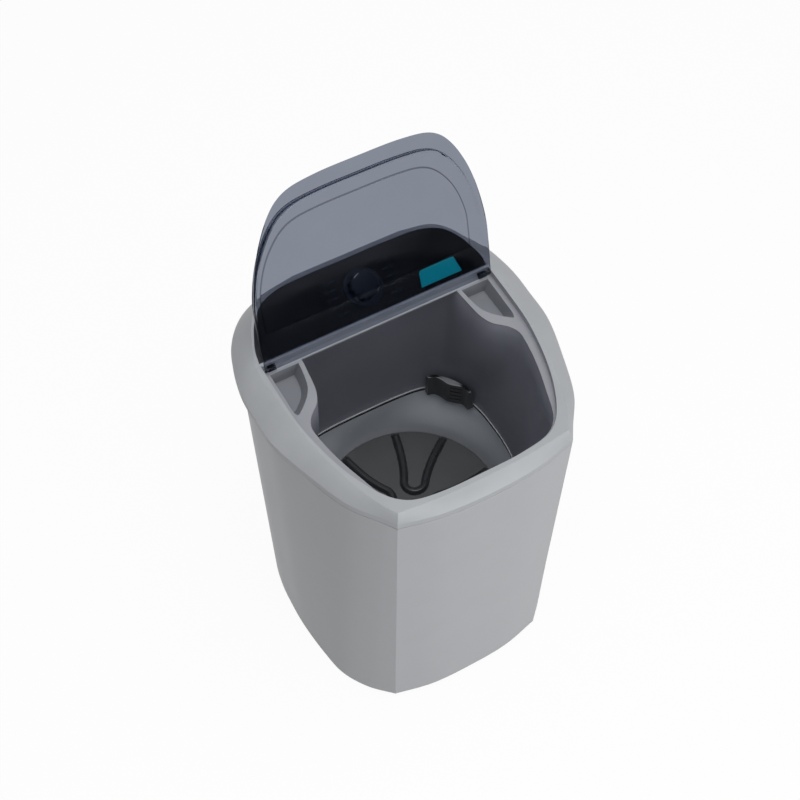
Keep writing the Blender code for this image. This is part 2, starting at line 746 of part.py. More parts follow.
def make_cabinet():
    """Make the tapered cabinet: one thin wall, open at its top and foot."""
    body = body_ring()
    base = base_ring()
    rings = [raised(base, CABINET_LIFT), raised(body, SEAM_HEIGHT),
             raised(offset(body, -CABINET_WALL), SEAM_HEIGHT),
             raised(offset(base, -CABINET_WALL), CABINET_LIFT)]
    cabinet = loft("cabinet", rings, "body_grey", "joined")
    size = (COVER_WIDTH - 2.0 * COVER_LAP, OVERRUN, COVER_HEIGHT - 2.0 * COVER_LAP)
    window = block("window", size, ORIGIN, "body_grey")
    cut(cabinet, place(window, rear_matrix(COVER_CENTRE)))
    pipe_hole = rod("pipe_hole", PIPE_RADIUS + RUNNING_GAP, -OVERRUN, OVERRUN, "body_grey", ORIGIN)
    cut(cabinet, place(pipe_hole, rear_axis(PIPE_X, PIPE_HEIGHT)))
    gland_hole = rod("gland_hole", GLAND_RADIUS + RUNNING_GAP, -OVERRUN, OVERRUN, "body_grey", ORIGIN)
    cut(cabinet, place(gland_hole, rear_axis(GLAND_X, GLAND_HEIGHT)))
    for spot in cover_screw_places():
        hole = small_hole(SCREW_SHANK_RADIUS + GAP, -OVERRUN, OVERRUN, "body_grey", ORIGIN)
        cut(cabinet, place(hole, rear_matrix(COVER_CENTRE) @ spot))


def tray_outline(side):
    """Give a tray's rim on one side, running the same way round on both."""
    points = []
    for across, along in TRAY_OUTLINE_SHARES:
        x = side * (TRAY_INNER_X + across * TRAY_WIDTH)
        points.append(Vector((x, TRAY_BACK_Y - along * TRAY_LENGTH)))
    return points if side > 0.0 else points[::-1]


def tray_solid(side, wall):
    """Make the widening space of a tray, or with a wall the block that holds it."""
    rim = tray_outline(side)
    middle_x = sum(point.x for point in rim) / len(rim)
    floor_height = ledge_height(Vector((0.0, TRAY_BACK_Y))) - TRAY_DEPTH
    rings = []
    for height in (floor_height, HINGE_LIP_HEIGHT + OVERRUN):
        share = TRAY_FLOOR_SHARE + (1.0 - TRAY_FLOOR_SHARE) * (height - floor_height) / TRAY_DEPTH
        anchor = Vector((middle_x, TRAY_BACK_Y))
        outline = [anchor.lerp(point, share) for point in rim]
        rings.append(raised(offset(outline, wall), height - wall))
    return loft("tray", rings, "frame_grey", "flat")


def make_top_frame():
    """Make the moulded frame: shoulder, crest, lid recess, trays, hinge seats and console seat."""
    foot = SEAM_HEIGHT + SEAT
    low = offset(body_ring(), overhang)
    crest = crest_ring()
    edge = raised(low, lambda p: foot + edge_height(p))
    summit = raised(crest, top_height)
    middle = [a.lerp(b, 0.5) + UP * SHOULDER_CROWN for a, b in zip(edge, summit)]
    frame = loft("top_frame", [raised(low, foot), edge, middle, summit], "frame_grey")

    gate = offset(body_ring(), -FLANGE_WIDTH)
    inner_low = offset(low, -FRAME_WALL)
    inner_crest = offset(crest, -FRAME_WALL)
    floor = foot + FRAME_WALL
    rings = [raised(gate, foot - OVERRUN), raised(gate, floor), raised(inner_low, floor),
             raised(inner_low, lambda p: foot + edge_height(p) - FRAME_WALL),
             raised(inner_crest, lambda p: top_height(p) - FRAME_WALL)]
    hollow = loft("hollow", rings, "frame_grey")

    recess = recess_ring()
    deck_edge = offset(recess, FRAME_WALL)
    above = LEDGE_DEPTH + OVERRUN
    deck = loft("deck", [raised(deck_edge, lambda p: ledge_height(p) - FRAME_WALL),
                         raised(deck_edge, lambda p: ledge_height(p) + above)], "frame_grey")
    cut(hollow, deck, tray_solid(1.0, FRAME_WALL), tray_solid(-1.0, FRAME_WALL))
    seat_edge = fascia_ring(-FRAME_WALL)
    seat = loft("seat", [raised(seat_edge, -FASCIA_THICKNESS - FRAME_WALL), raised(seat_edge, OVERRUN)],
                "frame_grey")
    cut(hollow, place(seat, console_matrix()))
    cut(frame, hollow)

    cut(frame, loft("recess", [raised(recess, ledge_height),
                               raised(recess, lambda p: ledge_height(p) + above)], "frame_grey"))
    mouth = loft("mouth", [raised(mouth_ring(), foot), raised(mouth_ring(), HINGE_LIP_HEIGHT)], "frame_grey")
    bar_middle = (0.0, BAR_FRONT + MOUTH_BACK / 2.0, HINGE_HEIGHT)
    bar = block("bar", (MOUTH_WIDTH, MOUTH_BACK, MOUTH_FRONT), bar_middle, "frame_grey")
    cut(mouth, bar)
    cut(frame, mouth, tray_solid(1.0, 0.0), tray_solid(-1.0, 0.0))

    for name, inset, low_level in (("fascia_seat", 0.0, -FASCIA_THICKNESS - SEAT),
                                   ("console_hole", FASCIA_SEAT_WIDTH, -FASCIA_THICKNESS - OVERRUN)):
        tool = loft(name, [raised(fascia_ring(inset), low_level), raised(fascia_ring(inset), OVERRUN)],
                    "frame_grey")
        cut(frame, place(tool, console_matrix()))
    pin_end = LID_HALF_WIDTH + LID_SIDE_GAP + PIN_SEAT_DEPTH
    hinge_line = rod("hinge_line", PIN_RADIUS + SEAT, -pin_end, pin_end, "frame_grey",
                     (0.0, HINGE_Y, HINGE_HEIGHT), ACROSS)
    cut(frame, hinge_line)

    outer = offset(body_ring(), -CABINET_WALL - RUNNING_GAP)
    inner = offset(outer, -TAB_WALL)
    levels = (SEAM_HEIGHT - TAB_DEPTH, foot + FRAME_WALL / 2.0)
    for index in TAB_STATIONS:
        after = index + 1
        outline = [outer[index], outer[after], inner[after], inner[index]]
        join(frame, loft("tab", [raised(outline, level) for level in levels], "frame_grey", "flat"))


def lid_ring(side, front, rear):
    """Give the lid's outline drawn in at its sides, front and rear, with the hinge line as Y = 0."""
    half = []
    for across, along, corner in LID_OUTLINE_SHARES:
        x = across * (LID_HALF_WIDTH - side)
        y = -rear - along * (LID_LENGTH - front - rear)
        half.append((Vector((x, y)), corner))
    return ring(half)


def lid_drop():
    """Give how far the lid's underside lies below the hinge line."""
    return HINGE_HEIGHT - ledge_height(Vector((0.0, HINGE_Y))) - SEAT


def make_lid():
    """Make the clear lid shut, with its brim, step, shoulder and panel, then swing it open."""
    low = -lid_drop()
    top = BRIM_RISE + WALL_RISE + SHOULDER_RISE
    side = BRIM_SIDE + WALL_INSET + SHOULDER_SIDE
    front = BRIM_FRONT + WALL_INSET + SHOULDER_FRONT
    wall_top = (side - SHOULDER_SIDE, front - SHOULDER_FRONT, BRIM_REAR + REAR_WALL_RUN)
    crease = [inset + CREASE_WIDTH for inset in (side, front, SHOULDER_REAR)]
    panel = [inset + PANEL_INSET for inset in crease]
    # Each station: how far its ring is drawn in at the sides, front and rear, its rise, and by how
    # much less the outer skin is drawn in than the inner one.
    stations = (
        ((0.0, 0.0, 0.0), 0.0, 0.0),
        ((BRIM_SIDE, BRIM_FRONT, BRIM_REAR), BRIM_RISE, LID_WALL),
        (wall_top, BRIM_RISE + WALL_RISE, LID_WALL),
        ((side, front, SHOULDER_REAR), top, 0.0),
        (crease, top - CREASE_DROP, 0.0),
        (panel, top + PANEL_CROWN, 0.0))
    under = []
    over = []
    for inset, rise, less in stations:
        under.append(raised(lid_ring(*inset), low + rise))
        over.append(raised(lid_ring(*[value - less for value in inset]), low + rise + LID_WALL))
    lid = loft("lid", under[::-1] + over, "smoke")
    for end in (-1.0, 1.0):
        x = end * (LID_HALF_WIDTH - EAR_INSET - EAR_WIDTH / 2.0)
        base = low + LID_WALL / 2.0
        outline = [(0.0, base), (-EAR_FOOT, base)]
        for step in range(EAR_STEPS + 1):
            a = pi - EAR_SWEEP * step / EAR_STEPS
            outline.append((EAR_RADIUS * cos(a), EAR_RADIUS * sin(a)))
        inner = [Vector((x - EAR_WIDTH / 2.0, y, z)) for y, z in outline]
        outer = [Vector((x + EAR_WIDTH / 2.0, y, z)) for y, z in outline]
        join(lid, loft("ear", [inner, outer], "smoke", "flat"))
    reach = LID_HALF_WIDTH + OVERRUN
    cut(lid, rod("bore", PIN_RADIUS + RUNNING_GAP, -reach, reach, "smoke", ORIGIN, ACROSS))
    lid.location = (0.0, HINGE_Y, HINGE_HEIGHT)
    lid.rotation_mode = "XYZ"
    lid.rotation_euler = (-(pi / 2.0 + LID_LEAN), 0.0, 0.0)


def make_hinge_pins():
    """Make the two steel pins, seated in the frame, that the lid's ears turn on."""
    outer = LID_HALF_WIDTH + LID_SIDE_GAP + PIN_SEAT_DEPTH - SEAT
    for name, end in (("hinge_pin_left", -1.0), ("hinge_pin_right", 1.0)):
        centre = (end * (outer - PIN_LENGTH / 2.0), HINGE_Y, HINGE_HEIGHT)
        rod(name, PIN_RADIUS, -PIN_LENGTH / 2.0, PIN_LENGTH / 2.0, "steel", centre, ACROSS)


def make_tub_collar():
    """Make the tub's upper wall, from the frame's mouth down to the seam, with its foot flange."""
    mouth = mouth_ring()
    seam = seam_ring()
    low = TUB_SEAM_HEIGHT + GASKET_HEIGHT + 2.0 * GAP
    start = LIP_HEIGHT - LEDGE_DEPTH - COLLAR_STRAIGHT
    top = [raised(mouth, lambda p: ledge_height(p) - FRAME_WALL - GAP)]
    wall = [raised(blend(mouth, seam, ease(share)), start + (low - start) * share)
            for share in COLLAR_LEVEL_SHARES]
    inner = top + wall
    outer = [raised(offset(points, TUB_WALL), points[0].z) for points in wall[1:]]
    outer[-1] = raised(offset(seam, TUB_WALL), low + TUB_WALL)
    flange = offset(seam, TUB_WALL + TUB_FLANGE)
    rim = raised(offset(mouth, TUB_WALL), lambda p: ledge_height(p) - FRAME_WALL - GAP)
    rings = inner + [raised(flange, low), raised(flange, low + TUB_WALL)] + outer[::-1] + [rim]
    loft("tub_collar", rings, "collar_grey", "joined")


def make_tub_gasket():
    """Make the pale gasket squeezed between the collar and the bowl."""
    inner = seam_ring()
    outer = offset(inner, GASKET_WIDTH)
    low = TUB_SEAM_HEIGHT + GAP
    high = low + GASKET_HEIGHT
    loft("tub_gasket", [raised(inner, low), raised(inner, high), raised(outer, high), raised(outer, low)],
         "pale_plastic", "joined")


def round_ring(outline, radius):
    """Give a circle about the tub's axis with a point for each point of an outline."""
    centre = Vector((0.0, TUB_Y))
    return [centre + (point - centre).normalized() * radius for point in outline]


def filter_outline(inset, lean=0.0):
    """Give the filter's outline: its wavy front, then along the tub's corner wall, leaning in."""
    front = [Vector((x * SEAM_HALF_WIDTH, y * SEAM_BACK)) for x, y in FILTER_FRONT_SHARES]
    seam = seam_ring()
    wall = [moved for point, moved in zip(seam, offset(seam, -FILTER_MARGIN - lean))
            if point.x > front[0].x and point.y > front[-1].y]
    return offset(front + wall, -inset)


def drive_places():
    """Give where the four bolts through the bearing flange go."""
    angles = [2.0 * pi * (index + 0.5) / RING_BOLTS for index in range(RING_BOLTS)]
    return [Vector((BOLT_RING_RADIUS * cos(a), TUB_Y + BOLT_RING_RADIUS * sin(a), 0.0)) for a in angles]


def make_tub_bowl():
    """Make the tub's lower bowl, from a rounded square at the seam to a round floor."""
    seam = seam_ring()
    circle = round_ring(seam, BOWL_RADIUS)
    inner = []
    for share in BOWL_LEVEL_SHARES:
        height = TUB_SEAM_HEIGHT + (BOWL_HEIGHT - TUB_SEAM_HEIGHT) * share
        inner.append(raised(blend(seam, circle, ease(share)), height))
    outer = [raised(offset(points, TUB_WALL), points[0].z) for points in inner]
    outer[0] = raised(offset(seam, TUB_WALL), TUB_SEAM_HEIGHT - TUB_WALL)
    for share, rise in ((CORNER_SHARE, FLOOR_CORNER * CORNER_SHARE), (1.0, 0.0)):
        radius = BOWL_RADIUS - FLOOR_CORNER * share
        level = TUB_FLOOR + rise
        inner.append(raised(round_ring(seam, radius), level))
        outer.append(raised(round_ring(seam, radius + TUB_WALL), level - TUB_WALL))
    flange = offset(seam, TUB_WALL + TUB_FLANGE)
    top = [raised(flange, TUB_SEAM_HEIGHT - TUB_WALL), raised(flange, TUB_SEAM_HEIGHT)]
    bowl = loft("tub_bowl", inner[::-1] + top[::-1] + outer, "bowl_grey", "flat")

    shelf_top = TUB_SEAM_HEIGHT - SEAT
    shelf_edge = filter_outline(-FILTER_MARGIN - TUB_WALL / 2.0)
    shelf = loft("shelf", [raised(shelf_edge, shelf_top - SHELF_THICKNESS), raised(shelf_edge, shelf_top)],
                 "bowl_grey", "flat")
    join(bowl, shelf)
    underside = TUB_FLOOR - TUB_WALL
    for spot in drive_places():
        join(bowl, rod("boss", BOSS_RADIUS, -BOSS_HEIGHT, TUB_WALL / 2.0, "bowl_grey",
                       spot + UP * underside))
        cut(bowl, rod("bore", BOLT_RADIUS + GAP, -BOSS_HEIGHT - OVERRUN, 0.0, "bowl_grey",
                      spot + UP * underside, steps=HOLE_STEPS))
    cut(bowl, rod("drain", DRAIN_RADIUS, -OVERRUN, OVERRUN, "bowl_grey", (PIPE_X, PIPE_Y, TUB_FLOOR)),
        rod("hub_hole", HUB_HOLE_RADIUS, -OVERRUN, OVERRUN, "bowl_grey", (0.0, TUB_Y, TUB_FLOOR)))


def make_lint_filter():
    """Make the slotted filter cover, open below, and the screen that stands inside it."""
    low = TUB_SEAM_HEIGHT
    high = low + FILTER_HEIGHT
    rings = [raised(filter_outline(0.0), low), raised(filter_outline(0.0, FILTER_LEAN), high)]
    cover = loft("filter_cover", rings, "filter_grey", "flat")
    inner = filter_outline(FILTER_WALL)
    inside = [raised(inner, low - OVERRUN), raised(inner, low),
              raised(filter_outline(FILTER_WALL, FILTER_LEAN), high - FILTER_WALL)]
    cut(cover, loft("inside", inside, "filter_grey", "flat"))
    first, second = (Vector((x * SEAM_HALF_WIDTH, y * SEAM_BACK))
                     for x, y in (FILTER_FRONT_SHARES[3], FILTER_FRONT_SHARES[5]))
    along = (second - first).normalized()
    turn = atan2(along.y, along.x)
    spot = first.lerp(second, 0.5)
    for index in range(FILTER_SLOTS):
        height = low + FILTER_HEIGHT * (index + 1.0) / (FILTER_SLOTS + 1.0)
        slot = block("slot", (FILTER_SLOT_WIDTH, OVERRUN, FILTER_SLOT_HEIGHT), ORIGIN, "filter_grey")
        cut(cover, place(slot, Matrix.Translation((spot.x, spot.y, height)) @ Matrix.Rotation(turn, 4, "Z")))

    size = (SCREEN_WIDTH, SCREEN_THICKNESS, SCREEN_HEIGHT)
    screen = block("filter_screen", size, ORIGIN, "pale_plastic")
    pitch = (SCREEN_WIDTH - SCREEN_BAR_WIDTH) / SCREEN_BARS
    window = (pitch - SCREEN_BAR_WIDTH, OVERRUN, SCREEN_HEIGHT - 2.0 * SCREEN_BAR_WIDTH)
    for index in range(SCREEN_BARS):
        x = (index + 0.5) * pitch - SCREEN_BARS * pitch / 2.0
        cut(screen, block("window", window, (x, 0.0, 0.0), "pale_plastic"))
    centre = (FILTER_CENTRE_X, FILTER_CENTRE_Y, low + SCREEN_HEIGHT / 2.0)
    place(screen, Matrix.Translation(centre) @ Matrix.Rotation(-pi / 4.0, 4, "Z"))


def dish_height(radius):
    """Give the height of the impeller's dish at a radius."""
    share = radius / IMPELLER_RADIUS
    return IMPELLER_RIM_HEIGHT - IMPELLER_DISH * (1.0 - share * share)


def rib_path(angle):
    """Give the middle line of one U-shaped rib: in along one arm, round the tip, out the other."""
    turn_centre = RIB_TIP + RIB_TURN_RADIUS
    spread = RIB_REACH * tan(RIB_HALF_ANGLE)
    arm = []
    for share in RIB_ARM_SHARES:
        along = RIB_REACH + (turn_centre - RIB_REACH) * share
        across = spread + (RIB_TURN_RADIUS - spread) * (1.0 - (1.0 - share) ** RIB_ARM_CURVE)
        arm.append((along, across))
    turn = []
    for step in range(RIB_TURN_STEPS + 1):
        a = pi / 2.0 + pi * step / RIB_TURN_STEPS
        turn.append((turn_centre + RIB_TURN_RADIUS * cos(a), RIB_TURN_RADIUS * sin(a)))
    flat = arm + turn + [(along, -across) for along, across in arm[::-1]]
    turned_points = []
    for along, across in flat:
        x = along * cos(angle) - across * sin(angle)
        y = along * sin(angle) + across * cos(angle)
        turned_points.append(Vector((x, y)))
    return turned_points


def make_rib(angle):
    """Sweep a rounded ridge along one rib's path, over the dish."""
    path = rib_path(angle)
    rings = []
    for index, point in enumerate(path):
        along = (path[min(index + 1, len(path) - 1)] - path[max(index - 1, 0)]).normalized()
        across = Vector((along.y, -along.x))
        rise = RIB_RISE if 0 < index < len(path) - 1 else RIB_RISE * RIB_END_SHARE
        points = []
        for side, lift in RIB_SECTION_SHARES:
            spot = point + across * (side * RIB_HALF_WIDTH)
            height = dish_height(spot.length) - RIB_SINK + lift * (rise + RIB_SINK)
            points.append(Vector((spot.x, spot.y, height)))
        rings.append(points)
    return loft("rib", rings, "impeller_grey", "flat")


def impeller_hub_top():
    """Give the height of the impeller's hub, which its cap sits on."""
    return dish_height(HUB_RADIUS) + HUB_RISE


def make_impeller():
    """Make the wash impeller: a shallow dish with a skirt, a hub and U-shaped ribs."""
    hub_low = housing_nose_top() + IMPELLER_LIFT
    bore = SHAFT_RADIUS + GAP
    radii = [IMPELLER_RADIUS * share for share in DISH_STATION_SHARES]
    inner_radius = IMPELLER_RADIUS - IMPELLER_WALL
    skirt_low = IMPELLER_RIM_HEIGHT - IMPELLER_SKIRT
    top = [(IMPELLER_RADIUS, IMPELLER_RIM_HEIGHT - IMPELLER_WALL / 2.0),
           (IMPELLER_RADIUS * DISH_EDGE_SHARE, IMPELLER_RIM_HEIGHT)]
    top += [(radius, dish_height(radius)) for radius in radii]
    top += [(HUB_RADIUS, dish_height(HUB_RADIUS)), (HUB_RADIUS * HUB_TOP_SHARE, impeller_hub_top()),
            (bore, impeller_hub_top())]
    under = [(bore, hub_low), (HUB_RADIUS * HUB_SOLE_SHARE, hub_low)]
    under += [(radius, dish_height(radius) - IMPELLER_WALL) for radius in (radii[-1], radii[0])]
    under += [(inner_radius, IMPELLER_RIM_HEIGHT - 2.0 * IMPELLER_WALL), (inner_radius, skirt_low),
              (IMPELLER_RADIUS, skirt_low)]
    impeller = turned("impeller", top + under, "impeller_grey", ORIGIN, closed=True, steps=IMPELLER_STEPS)
    for index in range(RIB_COUNT):
        join(impeller, make_rib(RIB_FIRST_ANGLE + 2.0 * pi * index / RIB_COUNT))
    impeller.location = (0.0, TUB_Y, 0.0)

    cap_low = impeller_hub_top() + SEAT
    room = BOLT_HEAD_HEIGHT + 2.0 * RUNNING_GAP
    room_radius = BOLT_HEAD_RADIUS + RUNNING_GAP
    profile = [(CAP_RADIUS * across, cap_low + CAP_RISE * along) for across, along in CAP_PROFILE_SHARES]
    profile += [(room_radius, cap_low), (room_radius, cap_low + room), (0.0, cap_low + room)]
    cap = turned("impeller_cap", profile, "impeller_grey", (0.0, TUB_Y, 0.0))
    for index in range(CAP_HOLES):
        a = 2.0 * pi * (index + 0.5) / CAP_HOLES
        spot = (CAP_HOLE_OFFSET * cos(a), TUB_Y + CAP_HOLE_OFFSET * sin(a), cap_low + CAP_RISE)
        hole = small_hole(CAP_HOLE_RADIUS, -CAP_RISE / 2.0, OVERRUN, "impeller_grey", spot)
        cut(cap, hole)
    shaft_top = impeller_hub_top() - SEAT
    bolt("impeller_bolt", BOLT_SHANK, (0.0, TUB_Y, shaft_top + 2.0 * SEAT), finish="steel")


def plate_low():
    """Give the height of the drive plate's underside, below the tub's bosses."""
    return TUB_FLOOR - TUB_WALL - BOSS_HEIGHT - SEAT - PLATE_THICKNESS


def housing_nose_top():
    """Give the height of the bearing housing's nose, just above the tub's floor."""
    return TUB_FLOOR + HOUSING_NOSE


def housing_low():
    """Give the height of the bearing housing's lower end."""
    return plate_low() - SEAT - HOUSING_LENGTH


def pulley_top():
    """Give the height of both pulleys' upper faces."""
    return housing_low() - PULLEY_DROP


def groove_half_width(depth):
    """Give half the width of a belt groove at a depth below the pulley's rim."""
    share = depth / GROOVE_DEPTH
    return (GROOVE_MOUTH + (GROOVE_FLOOR - GROOVE_MOUTH) * share) / 2.0


def pulley_profile(radius, bore, hub, web, rim):
    """Give a grooved pulley's closed profile, its upper face at nought."""
    middle = -PULLEY_HEIGHT / 2.0
    profile = [(radius, 0.0), (radius, middle + GROOVE_MOUTH / 2.0),
               (radius - GROOVE_DEPTH, middle + GROOVE_FLOOR / 2.0),
               (radius - GROOVE_DEPTH, middle - GROOVE_FLOOR / 2.0),
               (radius, middle - GROOVE_MOUTH / 2.0), (radius, -PULLEY_HEIGHT)]
    if rim:
        profile += [(radius - rim, -PULLEY_HEIGHT), (radius - rim, middle - web / 2.0),
                    (hub, middle - web / 2.0), (hub, -PULLEY_HEIGHT)]
    profile += [(bore, -PULLEY_HEIGHT), (bore, 0.0)]
    if rim:
        profile += [(hub, 0.0), (hub, middle + web / 2.0), (radius - rim, middle + web / 2.0),
                    (radius - rim, 0.0)]
    return profile


def bolt(name, length, centre, axis=UP, finish="zinc"):
    """Make a hexagon-headed bolt whose shank runs back from the underside of its head."""
    head = rod(name, BOLT_HEAD_RADIUS, 0.0, BOLT_HEAD_HEIGHT, finish, centre, axis, 6)
    join(head, rod("shank", BOLT_RADIUS, -length, BOLT_HEAD_HEIGHT / 2.0, finish, centre, axis, HOLE_STEPS))


def make_bearing():
    """Make the bearing housing under the tub, with its bushes and seal, and the drive shaft."""
    high = plate_low() - SEAT
    nose = housing_nose_top()
    low = housing_low()
    bore = BUSH_RADIUS + SEAT
    nose_radius = HUB_HOLE_RADIUS - RUNNING_GAP
    profile = ((bore, low), (HOUSING_RADIUS * HOUSING_FOOT_SHARE, low),
               (HOUSING_RADIUS, high - 2.0 * HOUSING_FLANGE), (HOUSING_RADIUS, high - HOUSING_FLANGE),
               (HOUSING_FLANGE_RADIUS, high - HOUSING_FLANGE),
               (HOUSING_FLANGE_RADIUS, high), (nose_radius, high), (nose_radius, nose), (bore, nose))
    housing = turned("bearing_housing", profile, "aluminium", (0.0, TUB_Y, 0.0), closed=True)
    for index, spot in enumerate(drive_places()):
        cut(housing, small_hole(BOLT_RADIUS + GAP, low, nose, "aluminium", spot))
        head = spot + UP * (high - HOUSING_FLANGE - SEAT)
        length = HOUSING_FLANGE + PLATE_THICKNESS + 3.0 * SEAT + BOSS_HEIGHT * BOLT_BITE_SHARE
        bolt(f"housing_bolt_{index + 1}", length, head, -UP)
    bush_bore = SHAFT_RADIUS + GAP
    centre = (0.0, TUB_Y, 0.0)
    upper = nose - SEAL_HEIGHT - GAP
    tube("shaft_seal", BUSH_RADIUS, bush_bore, nose - SEAL_HEIGHT, nose, "rubber", centre)
    tube("upper_bush", BUSH_RADIUS, bush_bore, upper - BUSH_LENGTH, upper, "bronze", centre)
    tube("lower_bush", BUSH_RADIUS, bush_bore, low, low + BUSH_LENGTH, "bronze", centre)
    shaft_top = impeller_hub_top() - SEAT
    shaft_low = pulley_top() - PULLEY_HEIGHT - NUT_HEIGHT - 3.0 * GAP
    shaft = rod("drive_shaft", SHAFT_RADIUS, shaft_low, shaft_top, "steel", centre)
    thread_low = shaft_top - BOLT_SHANK - SEAT
    cut(shaft, small_hole(BOLT_RADIUS + GAP, thread_low, shaft_top + OVERRUN, "steel", centre))


def make_pulleys():
    """Make the driven pulley and its nut, the motor pulley, and the belt round both."""
    top = pulley_top()
    profile = pulley_profile(PULLEY_RADIUS, SHAFT_RADIUS + GAP, PULLEY_HUB_RADIUS, PULLEY_WEB, PULLEY_RIM)
    centre = (0.0, TUB_Y, top)
    driven = turned("driven_pulley", profile, "aluminium", centre, closed=True, steps=PULLEY_STEPS)
    ring_radius = (PULLEY_HUB_RADIUS + PULLEY_RADIUS - PULLEY_RIM) / 2.0
    for index in range(PULLEY_HOLES):
        a = 2.0 * pi * index / PULLEY_HOLES + PULLEY_HOLE_TURN
        spot = (ring_radius * cos(a), TUB_Y + ring_radius * sin(a), top)
        hole = small_hole(PULLEY_HOLE_RADIUS, -PULLEY_HEIGHT, PULLEY_HEIGHT, "aluminium", spot)
        cut(driven, hole)
    under = (0.0, TUB_Y, top - PULLEY_HEIGHT - GAP)
    nut = rod("pulley_nut", NUT_RADIUS, -NUT_HEIGHT, 0.0, "zinc", under, steps=6)
    cut(nut, rod("bore", SHAFT_RADIUS + GAP, -NUT_HEIGHT - OVERRUN, OVERRUN, "zinc", under))
    motor_y = TUB_Y + MOTOR_DISTANCE
    profile = pulley_profile(MOTOR_PULLEY_RADIUS, MOTOR_SHAFT_RADIUS + GAP, 0.0, 0.0, 0.0)
    turned("motor_pulley", profile, "aluminium", (0.0, motor_y, top), closed=True)

    spread = (PULLEY_RADIUS - MOTOR_PULLEY_RADIUS) / MOTOR_DISTANCE
    lead = pi / 2.0 - atan2(spread, sqrt(1.0 - spread * spread))
    deep = GROOVE_DEPTH - 2.0 * BELT_CLEARANCE
    section = [(deep, -1.0), (deep, 1.0), (deep - BELT_THICKNESS, 1.0), (deep - BELT_THICKNESS, -1.0)]
    middle = top - PULLEY_HEIGHT / 2.0
    rings = []
    for centre_y, radius, start, sweep, count in (
            (TUB_Y, PULLEY_RADIUS, lead, 2.0 * (pi - lead), BELT_STEPS[0]),
            (motor_y, MOTOR_PULLEY_RADIUS, -lead, 2.0 * lead, BELT_STEPS[1])):
        for step in range(count + 1):
            a = pi / 2.0 + start + sweep * step / count
            points = []
            for depth, side in section:
                reach = radius - depth
                half = groove_half_width(depth) - BELT_CLEARANCE
                points.append(Vector((reach * cos(a), centre_y + reach * sin(a), middle + side * half)))
            rings.append(points)
    loft("drive_belt", rings, "belt_rubber", "joined")


def make_motor():
    """Make the motor hung on the drive plate, its shaft, its bolts, and the plate itself."""
    motor_y = TUB_Y + MOTOR_DISTANCE
    plate_middle = (TUB_Y - PLATE_FRONT + TUB_Y + PLATE_BACK) / 2.0
    low = plate_low()
    plate = block("drive_plate", (PLATE_WIDTH, PLATE_FRONT + PLATE_BACK, PLATE_THICKNESS),
                  (0.0, plate_middle, low + PLATE_THICKNESS / 2.0), "zinc")
    cut(plate, rod("hole", HUB_HOLE_RADIUS + RUNNING_GAP, -OVERRUN, OVERRUN, "zinc", (0.0, TUB_Y, low)))
    for spot in drive_places():
        cut(plate, small_hole(BOLT_RADIUS + GAP, -OVERRUN, OVERRUN, "zinc", spot + UP * low))
    top = low - SEAT
    bore = MOTOR_SHAFT_RADIUS + RUNNING_GAP
    foot = top - MOTOR_HEIGHT
    depth = MOTOR_BELL / 2.0
    profile = ((0.0, top), (MOTOR_RADIUS * MOTOR_TOP_SHARE, top), (MOTOR_RADIUS, top - depth),
               (MOTOR_RADIUS, foot + MOTOR_BELL), (MOTOR_RADIUS * MOTOR_FOOT_SHARE, foot), (bore, foot),
               (bore, foot + MOTOR_BORE_DEPTH), (0.0, foot + MOTOR_BORE_DEPTH))
    motor = turned("motor_housing", profile, "aluminium", (0.0, motor_y, 0.0))
    radius = MOTOR_RADIUS * MOTOR_BOLT_SHARE
    for index in range(MOTOR_BOLTS):
        a = 2.0 * pi * (index + 0.5) / MOTOR_BOLTS
        spot = Vector((radius * cos(a), motor_y + radius * sin(a), low))
        cut(plate, small_hole(BOLT_RADIUS + GAP, -OVERRUN, OVERRUN, "zinc", spot))
        cut(motor, small_hole(BOLT_RADIUS + GAP, -depth - SEAT, OVERRUN, "aluminium", spot))
        bolt(f"motor_bolt_{index + 1}", PLATE_THICKNESS + depth, spot + UP * (PLATE_THICKNESS + SEAT))
    shaft_low = pulley_top() - PULLEY_HEIGHT
    rod("motor_shaft", MOTOR_SHAFT_RADIUS, shaft_low, foot + MOTOR_BORE_DEPTH - SEAT, "steel",
        (0.0, motor_y, 0.0))


def foot_places():
    """Give each foot's name and place."""
    return [(f"foot_{row}_{side}", Vector((x, y, 0.0)))
            for row, y in (("front", -FOOT_FRONT_Y), ("back", FOOT_BACK_Y))
            for side, x in (("left", -FOOT_X), ("right", FOOT_X))]


